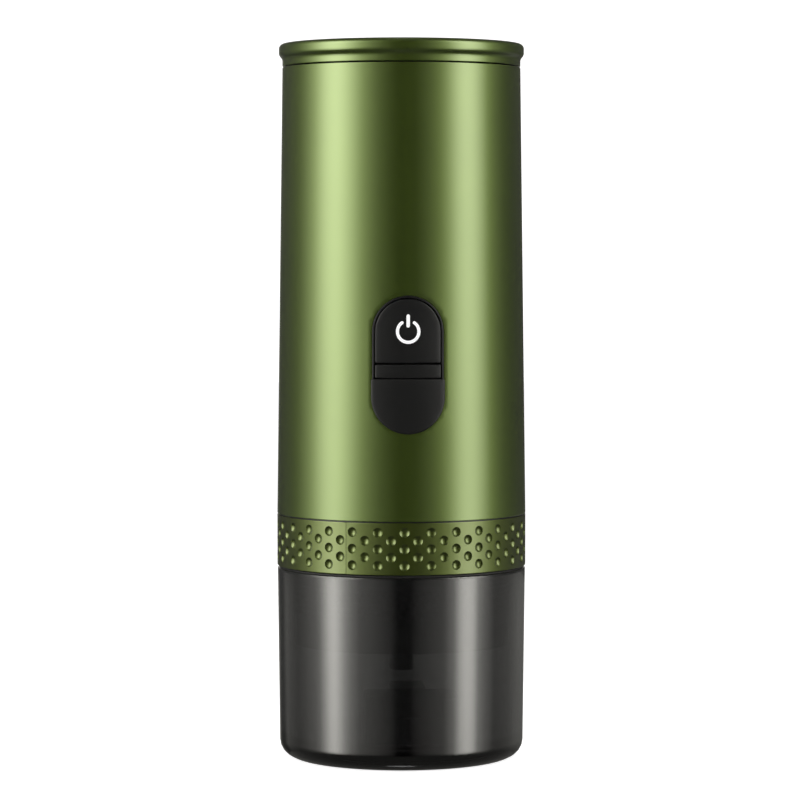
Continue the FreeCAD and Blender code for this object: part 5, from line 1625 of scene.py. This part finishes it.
@dataclass
class PowerSymbol:
    """The standby sign on the button, white with a painted glow.

    Args:
        radius: Mid-line of its ring.
        stroke: Width of its strokes.
        opening: Width of the ring's opening, stroke ends included.
        bar_low: Lower end of the bar above the ring's middle.
        bar_high: Upper end of the bar above the ring's middle.
        depth: Depth of the inlay.
        rise: How far the sign's middle stands above that of its solid.
        solid_middle: From the solid's foot to its ring's middle.
    """

    radius: float = 3.0
    stroke: float = 0.9
    opening: float = 2.5
    bar_low: float = 1.1
    bar_high: float = 4.8
    depth: float = 0.6
    rise: float = 0.25
    solid_middle: float = 3.37

    def build(self, face: Taper) -> None:
        """Make the sign.

        Args:
            face: The surface that its face follows.
        """
        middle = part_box("power_symbol")[0].z / MM + self.solid_middle + self.rise
        half = self.stroke / 2
        start = math.asin((self.opening / 2 + half) / self.radius)
        ring = self.open_ring(middle, half, start)
        back = face.forward(0.0, middle) - self.depth - 0.25
        arc = plate("symbol_arc", ring, face, back, 0.05)
        bar = stadium(half * 1.1, middle + self.bar_low, middle + self.bar_high, 0.12)
        bar_piece = plate("symbol_bar", bar, face, back, 0.05)
        sign = joined("standby_sign", arc, bar_piece)
        dressed(sign, Body.BUTTON, WHITE_SIGN_PAINTED_GLOW, ["power_symbol"])

    def open_ring(self, middle: float, half: float, start: float) -> List[Point]:
        """The ring's outline with round ends, anticlockwise.

        Args:
            middle: Level of the ring's middle.
            half: Half of the stroke.
            start: Angle from straight up to the middle of a stroke's end.

        Returns:
            The outline.
        """
        first, last = math.pi / 2 + start, math.pi / 2 + FULL_TURN - start
        steps = 48
        points = []
        for step in range(steps + 1):
            angle = first + (last - first) * step / steps
            points.append(self.at(self.radius + half, angle, middle))
        points += self.cap(last, half, middle, last)
        for step in range(steps + 1):
            angle = last + (first - last) * step / steps
            points.append(self.at(self.radius - half, angle, middle))
        points += self.cap(first, half, middle, first + math.pi)
        return points

    def at(self, radius: float, angle: float, middle: float) -> Point:
        """A point about the ring's middle."""
        return (radius * math.cos(angle), middle + radius * math.sin(angle))

    def cap(self, angle: float, half: float, middle: float, start: float) -> List[Point]:
        """The inner points of a stroke's round end.

        Args:
            angle: Where the stroke ends.
            half: Half of the stroke.
            middle: Level of the ring's middle.
            start: Direction of the end's first point.

        Returns:
            The points.
        """
        centre = self.at(self.radius, angle, middle)
        steps = 7
        return [(centre[0] + half * math.cos(start + math.pi * step / steps),
                 centre[1] + half * math.sin(start + math.pi * step / steps))
                for step in range(1, steps)]


@dataclass
class MachineCore:
    """What shows of the machine's inside: socket, gasket, shower plate, tank and its mouth.

    Args:
        socket_wall: Wall of the socket round the brew head's neck.
        ceiling: Thickness of the socket's ceiling.
        lip: How high the socket's lip stands between ring and sleeve.
        sheet: Sheet of the tank.
        sleeve_room: From the sleeve's outside in to the socket.
        nozzle_hole: Radius of the hole for the nozzle.
        tank_brim: Width of the tank's brim.
        drain_away: From the axis to the tank's drain.
        drain_turn: Direction of the drain, in degrees above the left.
        drain_bore: Radius of the drain.
        spigot_wall: Wall of the spigot under it.
    """

    socket_wall: float = 3.6
    ceiling: float = 3.5
    lip: float = 0.3
    sheet: float = 0.6
    sleeve_room: float = 2.6
    nozzle_hole: float = 3.1
    tank_brim: float = 2.0
    drain_away: float = 22.0
    drain_turn: float = 30.0
    drain_bore: float = 1.2
    spigot_wall: float = 0.8

    def build(self, face: Taper) -> None:
        """Make the pieces.

        Args:
            face: The sleeve's outside.
        """
        self.build_socket(face)
        self.build_tank()
        self.build_mouth()

    def build_socket(self, face: Taper) -> None:
        """Turn the socket, its gasket and the shower plate.

        Args:
            face: The sleeve's outside.
        """
        span = Span.of("brew_socket")
        outside = face.foot_radius - self.sleeve_room
        bore = outside - self.socket_wall
        under = span.top - self.ceiling
        socket = turned("socket", [
            Corner(bore, span.foot, 0.3),
            Corner(outside, span.foot, 0.3),
            Corner(outside, span.top - self.lip),
            Corner(span.reach, span.top - self.lip),
            Corner(span.reach, span.top),
            Corner(self.nozzle_hole, span.top),
            Corner(self.nozzle_hole, under),
            Corner(bore, under, 0.4),
        ])
        dressed(socket, Body.MACHINE, BLACK_PLASTIC, ["brew_socket"])
        gasket = Span.of("head_gasket")
        plate_span = Span.of("shower_plate")
        ring = tube("gasket", Corner(gasket.reach, gasket.foot),
                    Corner(plate_span.reach + 0.05, gasket.foot), gasket.top, 0.25)
        dressed(ring, Body.MACHINE, MILKY_SILICONE, ["head_gasket"])
        shower = perforated("shower", plate_span.reach, plate_span.foot, plate_span.top, 0.6,
                            3.2, BRUSHED_STEEL)
        dressed(shower, Body.MACHINE, BRUSHED_STEEL, ["shower_plate"])

    def build_tank(self) -> None:
        """Turn the tank, drill its drain and add its spigot."""
        span = Span.of("water_tank")
        floor = Span.of("heater").top
        radius = span.reach - self.tank_brim
        brim = span.top - self.sheet
        tank = turned("tank", [
            Corner(0.0, floor),
            Corner(radius, floor, 1.0),
            Corner(radius, brim, 0.3),
            Corner(span.reach, brim, 0.2),
            Corner(span.reach, span.top, 0.2),
            Corner(radius - self.sheet, span.top, 0.3),
            Corner(radius - self.sheet, floor + self.sheet, 0.8),
            Corner(0.0, floor + self.sheet),
        ])
        turn = math.radians(self.drain_turn)
        drain = (-self.drain_away * math.cos(turn), self.drain_away * math.sin(turn))
        bore, outside = self.drain_bore, self.drain_bore + self.spigot_wall
        drill = turned("drain_tool", [
            Corner(0.0, floor - 1.0), Corner(bore, floor - 1.0),
            Corner(bore, floor + 2.0), Corner(0.0, floor + 2.0)], 32, drain)
        tank = drilled(tank, drill)
        spigot = turned("spigot", [
            Corner(bore, span.foot), Corner(outside, span.foot, 0.2),
            Corner(outside, floor), Corner(bore, floor)], 32, drain)
        dressed(joined("steel_tank", tank, spigot), Body.MACHINE, BRUSHED_STEEL,
                ["water_tank"])

    def build_mouth(self) -> None:
        """Turn the tank's gasket and the collar that takes the lid's plug."""
        gasket, tank = Span.of("tank_gasket"), Span.of("water_tank")
        bore = tank.reach - self.tank_brim - self.sheet
        ring = tube("mouth_ring", Corner(gasket.reach, gasket.foot),
                    Corner(bore + 0.3, gasket.foot), gasket.top, 0.15)
        dressed(ring, Body.MACHINE, MILKY_SILICONE, ["tank_gasket"])
        collar = Span.of("tank_collar")
        mouth = turned("mouth_collar", [
            Corner(bore, collar.foot, 0.2),
            Corner(collar.reach, collar.foot, 0.2),
            Corner(collar.reach, collar.top, 0.5),
            Corner(bore, collar.top, 0.8),
        ])
        dressed(mouth, Body.MACHINE, BLACK_PLASTIC, ["tank_collar"])


@dataclass
class Lid:
    """The round lid with its lip, and the plug that closes the tank.

    Args:
        lip_height: Height of the lip down to where it flares from.
        flare: How high the lip's underside rises outwards.
        cove: Rounding at both ends of the flare.
        round_top: Rounding of the lid's top edge.
        skirt_inset: How far the skirt lies in from the lip.
        plug_wall: Wall of the plug.
        groove: Height of the seal's groove.
        floor: Floor of the plug.
        room: Height of the lid's plate above the plug.
        groove_depth: Depth of the seal's groove.
        seal_crown: How far the seal's middle stands past its edges.
        vent_stem: Radius of the vent's stem.
        vent_recess: Depth of the hollow under it.
    """

    lip_height: float = 4.35
    flare: float = 1.0
    cove: float = 1.6
    round_top: float = 1.4
    skirt_inset: float = 1.0
    plug_wall: float = 2.8
    groove: float = 1.8
    floor: float = 1.5
    room: float = 2.2
    groove_depth: float = 1.3
    seal_crown: float = 0.3
    vent_stem: float = 1.2
    vent_recess: float = 0.5

    def build(self) -> None:
        """Make the lid's pieces."""
        span = Span.of("lid_cap")
        plug_span = Span.of("lid_plug")
        lip_foot = span.top - self.lip_height
        skirt = span.reach - self.skirt_inset
        hollow = plug_span.reach - self.plug_wall
        cap = turned("lid_shell", [
            Corner(0.0, span.top - self.room),
            Corner(hollow, span.top - self.room, 0.4),
            Corner(hollow, span.foot, 0.1),
            Corner(skirt, span.foot, 0.22),
            Corner(skirt, lip_foot, self.cove),
            Corner(span.reach, lip_foot + self.flare, self.cove),
            Corner(span.reach, span.top, self.round_top),
            Corner(0.0, span.top),
        ], 256)
        dressed(cap, Body.LID, ANODISED_GREEN, ["lid_cap"])
        groove_foot = plug_span.foot + self.floor
        groove_top = groove_foot + self.groove
        bed = plug_span.reach - self.groove_depth
        plug = turned("plug", [
            Corner(0.0, plug_span.foot),
            Corner(plug_span.reach, plug_span.foot, 0.6),
            Corner(plug_span.reach, groove_foot, 0.2),
            Corner(bed, groove_foot),
            Corner(bed, groove_top),
            Corner(plug_span.reach, groove_top, 0.2),
            Corner(plug_span.reach, plug_span.top),
            Corner(hollow, plug_span.top),
            Corner(hollow, groove_foot, 0.5),
            Corner(0.0, groove_foot),
        ])
        dressed(plug, Body.LID, BLACK_PLASTIC, ["lid_plug"])
        seal_span = Span.of("lid_seal")
        seal_edge = seal_span.reach - self.seal_crown
        seal = turned("plug_ring", [
            Corner(bed, groove_foot), Corner(seal_edge, groove_foot, 0.3),
            Corner(seal_span.reach, (groove_foot + groove_top) / 2, 0.3),
            Corner(seal_edge, groove_top, 0.3), Corner(bed, groove_top)])
        dressed(seal, Body.LID, MILKY_SILICONE, ["lid_seal"])
        vent_span = Span.of("vent_valve")
        under = vent_span.foot + self.vent_recess
        vent = turned("vent", [
            Corner(0.0, under), Corner(1.0, under, 0.2),
            Corner(self.vent_stem, vent_span.foot, 0.2),
            Corner(vent_span.reach, vent_span.foot, 0.5),
            Corner(vent_span.reach, vent_span.top), Corner(0.0, vent_span.top)], 48)
        dressed(vent, Body.LID, MILKY_SILICONE, ["vent_valve"])


HIDDEN_FINISHES: Dict[str, Finish] = {
    "inlet_nozzle": BRASS, "inner_frame": BLACK_PLASTIC, "frame_screws": BRIGHT_STEEL,
    "battery_cells": CELL_WRAP, "cell_tabs": BRIGHT_STEEL, "pump_head": BLACK_PLASTIC,
    "pump_plunger": BRIGHT_STEEL, "plunger_spring": BRIGHT_STEEL, "pump_motor": BRUSHED_STEEL,
    "check_valve": BRASS, "outlet_tube": MILKY_SILICONE, "inlet_tube": MILKY_SILICONE,
    "heater": CAST_ALUMINIUM, "temperature_sensor": BRASS, "thermal_fuse": BRIGHT_STEEL,
    "circuit_board": BOARD_MASK, "board_screws": BRIGHT_STEEL, "tact_switch": BLACK_PLASTIC,
    "usb_socket": BRIGHT_STEEL, "motor_shaft": BRIGHT_STEEL, "pump_eccentric": BRUSHED_STEEL,
    "switch_plunger": BLACK_PLASTIC,
}


def dress_hidden() -> None:
    """Give the nodes that stay as they are their finishes."""
    for name, finish in HIDDEN_FINISHES.items():
        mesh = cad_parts[name].data
        mesh.materials.clear()
        mesh.materials.append(SHADING.material(finish))
        LOG.info("%s keeps its node", name)


@dataclass(frozen=True)
class Lamp:
    """A soft box.

    Args:
        name: Its name.
        azimuth: Where it stands, in degrees to the right of the panel's front.
        distance: From the axis, in metres.
        level: Height of its middle, in metres.
        width: Its width, in metres.
        height: Its height, in metres.
        radiance: Brightness of its face.
    """

    name: str
    azimuth: float
    distance: float
    level: float
    width: float
    height: float
    radiance: float


LAMPS = (
    Lamp("left_box", -68.0, 0.90, 0.29, 0.50, 0.92, 4.0),
    Lamp("right_box", 66.0, 0.90, 0.29, 0.46, 0.92, 4.0),
    Lamp("top_box", 20.0, 0.45, 0.95, 0.55, 0.55, 2.2),
)


@dataclass(frozen=True)
class Screen:
    """A round screen that only gloss sees.

    Args:
        name: Its name.
        foot: Its lower level.
        top: Its upper level.
        tones: Degrees to the right of the panel's front, and how bright it is there.
        start: Share of that at the foot.
        end: Share of that from the full level upwards.
        full: Level up to which the share grows.
    """

    name: str
    foot: float
    top: float
    tones: Tuple[Point, ...]
    start: float
    end: float
    full: float


HIGH_TONES: Tuple[Point, ...] = (
    (-180.0, 0.45), (-170.0, 0.25), (-160.0, 0.04), (-115.0, 0.15), (-106.0, 0.39),
    (-94.0, 1.01), (-88.0, 1.89), (-82.0, 3.18), (-76.0, 4.14), (-70.0, 4.74), (-64.0, 4.75),
    (-58.0, 3.9), (-52.0, 2.9), (-46.0, 1.9), (-40.0, 0.88), (-33.0, 0.55), (-22.0, 0.17),
    (-8.0, 0.0), (10.0, 0.0), (34.0, 0.35), (42.0, 1.13), (48.0, 2.46), (54.0, 3.72),
    (60.0, 4.28), (66.0, 4.03), (72.0, 3.15), (78.0, 1.88), (86.0, 0.35), (110.0, 0.08),
    (160.0, 0.04), (170.0, 0.25), (180.0, 0.45),
)
LOW_TONES: Tuple[Point, ...] = (
    (-180.0, 0.45), (-170.0, 0.2), (-158.0, 0.03), (-146.0, 0.04), (-137.0, 0.2), (-114.0, 0.2),
    (-104.0, 0.35), (-90.0, 0.75), (-84.0, 1.25), (-78.0, 2.8), (-72.0, 4.9), (-67.0, 5.6),
    (-62.0, 4.3), (-56.0, 2.4), (-50.0, 1.4), (-42.0, 0.7), (-20.0, 0.3), (-12.0, 0.16),
    (-7.0, 0.0), (5.0, 0.0), (10.0, 0.12), (36.0, 0.48), (46.0, 1.4), (54.0, 4.4), (60.0, 5.2),
    (66.0, 4.4), (72.0, 1.7), (80.0, 0.85), (92.0, 0.25), (128.0, 0.25), (158.0, 0.1),
    (180.0, 0.45),
)
OVER_TONES: Tuple[Point, ...] = ((-180.0, 0.15), (180.0, 0.15))
UNDER_TONES: Tuple[Point, ...] = ((-180.0, 0.08), (180.0, 0.08))
SCREENS = (
    Screen("over_screen", 1000.0, 9000.0, OVER_TONES, 1.0, 1.0, 2000.0),
    Screen("high_screen", -55.0, 1000.0, HIGH_TONES, 0.69, 1.17, 300.0),
    Screen("low_screen", -420.0, -55.0, LOW_TONES, 0.28, 1.06, -55.0),
    Screen("under_screen", -9000.0, -420.0, UNDER_TONES, 1.0, 1.0, -1000.0),
)
BRIGHTEST = 6.0
WARM_WHITE: Colour = (1.0, 0.985, 0.92)


@dataclass
class Studio:
    """The pale floor and wall, the lamps, the screens and the camera.

    Args:
        distance: From the axis to the camera.
        eye: Height of the camera.
        azimuth: How far the camera stands to the left of the panel, in degrees.
        aim: Level that the camera looks at.
        side: Where the camera looks, to the right of the axis.
        lens: Focal length.
        wall_radius: Radius of the round wall behind everything.
        wall_height: Height of that wall.
        screen_radius: Radius of the round screens.
        ambient: Strength of the light from all round.
        floor_glow: How bright the floor looks where no lamp reaches it.
        floor_tone: Colour of floor and wall, 1 for white.
        floor_depth: Level of the floor's underside.
        floor_gap: How far the floor lies under the foot.
        wall_depth: Thickness of the wall.
        screen_depth: Thickness of a screen.
        screen_tone: Colour of a screen that isn't lit.
        steps: Steps round the floor, the wall and the screens.
        sensor: Width of the camera's sensor.
        lamp_aim: Level that the lamps are turned to.
    """

    distance: float = 970.0
    eye: float = 148.8
    azimuth: float = 3.1
    aim: float = 103.2
    side: float = -0.4
    lens: float = 150.9
    wall_radius: float = 2600.0
    wall_height: float = 2400.0
    screen_radius: float = 1050.0
    ambient: float = 0.3
    floor_glow: float = 0.82
    floor_tone: float = 0.85
    floor_depth: float = -1.0
    floor_gap: float = 0.02
    wall_depth: float = 10.0
    screen_depth: float = 5.0
    screen_tone: float = 0.01
    steps: int = 96
    sensor: float = 36.0
    lamp_aim: float = 100.0

    def build(self) -> None:
        """Make the studio."""
        self.build_room()
        self.build_world()
        for lamp in LAMPS:
            self.build_lamp(lamp)
        for screen in SCREENS:
            self.build_screen(screen)
        self.build_camera()
        bpy.context.scene.view_settings.view_transform = "Standard"

    def build_camera(self) -> None:
        """Stand the camera at the photograph's angle."""
        camera = bpy.data.cameras.new("camera")
        camera.lens = self.lens
        camera.sensor_width = self.sensor
        item = link(bpy.data.objects.new("camera", camera))
        angle = math.radians(self.azimuth)
        place = Vector((-math.sin(angle) * self.distance, -math.cos(angle) * self.distance,
                        self.eye)) * MM
        aim = Vector((self.side, 0.0, self.aim)) * MM
        item.location = place
        item.rotation_euler = (aim - place).to_track_quat("-Z", "Y").to_euler()
        bpy.context.scene.camera = item

    def build_room(self) -> None:
        """Lay the floor, which gloss and shadows see through, and raise the wall, both pale."""
        base, under = self.floor_depth, -self.floor_gap
        inside_wall, outside_wall = self.wall_radius, self.wall_radius + self.wall_depth
        floor = turned("floor", [
            Corner(0.0, base), Corner(inside_wall, base),
            Corner(inside_wall, under), Corner(0.0, under)], self.steps)
        wall = turned("wall", [
            Corner(inside_wall, base), Corner(outside_wall, base),
            Corner(outside_wall, self.wall_height),
            Corner(inside_wall, self.wall_height)], self.steps)
        for item, glow in ((floor, self.floor_glow), (wall, 1.0)):
            item.data.materials.append(self.pale(item.name, glow))
        floor.visible_glossy = False
        floor.visible_shadow = False

    def build_world(self) -> None:
        """Light everything evenly, and look white to the camera."""
        world = bpy.data.worlds.new("world")
        bpy.context.scene.world = world
        world.use_nodes = True
        tree = world.node_tree
        spread = add_node(tree, "ShaderNodeMapRange", {
            "Value": self.seen(tree), "To Min": self.ambient})
        light = tree.nodes["Background"]
        light.inputs["Color"].default_value = WHITE
        tree.links.new(spread.outputs["Result"], light.inputs["Strength"])

    @staticmethod
    def seen(tree: bpy.types.NodeTree) -> bpy.types.NodeSocket:
        """1 where the camera sees a surface itself, in gloss or through clear plastic.

        Args:
            tree: The tree of a material or the world.

        Returns:
            The socket.
        """
        path = add_node(tree, "ShaderNodeLightPath", {}).outputs
        total = path["Is Camera Ray"]
        for name in ("Is Glossy Ray", "Is Transmission Ray"):
            total = add_node(tree, "ShaderNodeMath", {0: total, 1: path[name]},
                             operation="MAXIMUM").outputs[0]
        return total

    def pale(self, name: str, glow: float) -> bpy.types.Material:
        """A pale stage material that looks white and keeps a shadow.

        Args:
            name: Name of the stage piece.
            glow: How bright it looks without light.

        Returns:
            The material.
        """
        material, tree, shader = node_material(name + "_pale")
        set_inputs(shader, {
            "Base Color": (self.floor_tone, self.floor_tone, self.floor_tone, 1.0),
            "Roughness": 1.0, "Specular IOR Level": 0.0, "Emission Color": WHITE})
        strength = add_node(tree, "ShaderNodeMath", {0: self.seen(tree), 1: glow},
                            operation="MULTIPLY")
        tree.links.new(strength.outputs[0], shader.inputs["Emission Strength"])
        return material

    def build_lamp(self, lamp: Lamp) -> None:
        """Set a soft box, turned to the object.

        Args:
            lamp: The soft box.
        """
        data = bpy.data.lights.new(lamp.name, "AREA")
        data.shape = "RECTANGLE"
        data.size, data.size_y = lamp.width, lamp.height
        data.energy = lamp.radiance * math.pi * lamp.width * lamp.height
        item = link(bpy.data.objects.new(lamp.name, data))
        angle = math.radians(lamp.azimuth)
        place = Vector((math.sin(angle) * lamp.distance, -math.cos(angle) * lamp.distance,
                        lamp.level))
        item.location = place
        aim = Vector((0.0, 0.0, self.lamp_aim * MM))
        item.rotation_euler = (aim - place).to_track_quat("-Z", "Y").to_euler()
        item.visible_glossy = False

    def build_screen(self, screen: Screen) -> None:
        """Stand a round screen that only gloss sees.

        Args:
            screen: The screen.
        """
        inner, outer = self.screen_radius, self.screen_radius + self.screen_depth
        item = turned(screen.name, [
            Corner(inner, screen.foot), Corner(outer, screen.foot),
            Corner(outer, screen.top), Corner(inner, screen.top)], self.steps)
        item.data.materials.append(self.tones(screen))
        for kind in ("camera", "diffuse", "transmission", "shadow"):
            setattr(item, "visible_" + kind, False)

    def tones(self, screen: Screen) -> bpy.types.Material:
        """The glow of a screen: by direction, and growing from its foot upwards.

        Args:
            screen: The screen.

        Returns:
            The material.
        """
        material, tree, shader = node_material(screen.name + "_tones")
        set_inputs(shader, {
            "Base Color": (self.screen_tone, self.screen_tone, self.screen_tone, 1.0),
            "Roughness": 1.0})
        place = add_node(tree, "ShaderNodeTexCoord", {}).outputs["Object"]
        parts = add_node(tree, "ShaderNodeSeparateXYZ", {0: place}).outputs
        rise = add_node(tree, "ShaderNodeMapRange", {
            "Value": parts["Z"], "From Min": screen.foot * MM, "From Max": screen.full * MM,
            "To Min": screen.start * BRIGHTEST, "To Max": screen.end * BRIGHTEST})
        tree.links.new(rise.outputs["Result"], shader.inputs["Emission Strength"])
        front = add_node(tree, "ShaderNodeMath", {0: parts["Y"], 1: -1.0}, operation="MULTIPLY")
        azimuth = add_node(tree, "ShaderNodeMath", {0: parts["X"], 1: front.outputs[0]},
                           operation="ARCTAN2")
        share = add_node(tree, "ShaderNodeMapRange", {
            "Value": azimuth.outputs[0], "From Min": -math.pi, "From Max": math.pi})
        ramp = add_node(tree, "ShaderNodeValToRGB", {"Fac": share.outputs["Result"]})
        stops = ramp.color_ramp.elements
        for index, (degrees, glow) in enumerate(screen.tones):
            position = degrees / 360.0 + 0.5
            stop = stops[index] if index < 2 else stops.new(position)
            stop.position = position
            stop.color = (*[part * glow / BRIGHTEST for part in WARM_WHITE], 1.0)
        tree.links.new(ramp.outputs["Color"], shader.inputs["Emission Color"])
        return material


def write_sizes() -> None:
    """Update the view layer; nothing is written.
    """
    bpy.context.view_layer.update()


def main() -> None:
    """Build the studio and dress every piece."""
    logging.basicConfig(level=logging.INFO, format="%(name)s: %(message)s")
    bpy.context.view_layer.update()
    sleeve = Span.of("sleeve")
    lid_reach = Span.of("lid_cap").reach
    face = Taper(sleeve.foot, sleeve.top, sleeve.reach, lid_reach - Lid.skirt_inset)
    low, high = PANEL_LOW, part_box("control_bezel")[1].z / MM - PANEL_UNDER_TOP
    ClearCup().build()
    BrewHead().build()
    GripRing().build()
    Shell().build(face, stadium(ControlPanel.half, low, high))
    ControlPanel().build(face, low, high)
    MachineCore().build(face)
    Lid().build()
    dress_hidden()
    write_sizes()
    Studio().build()


if __name__ == "__main__":
    main()
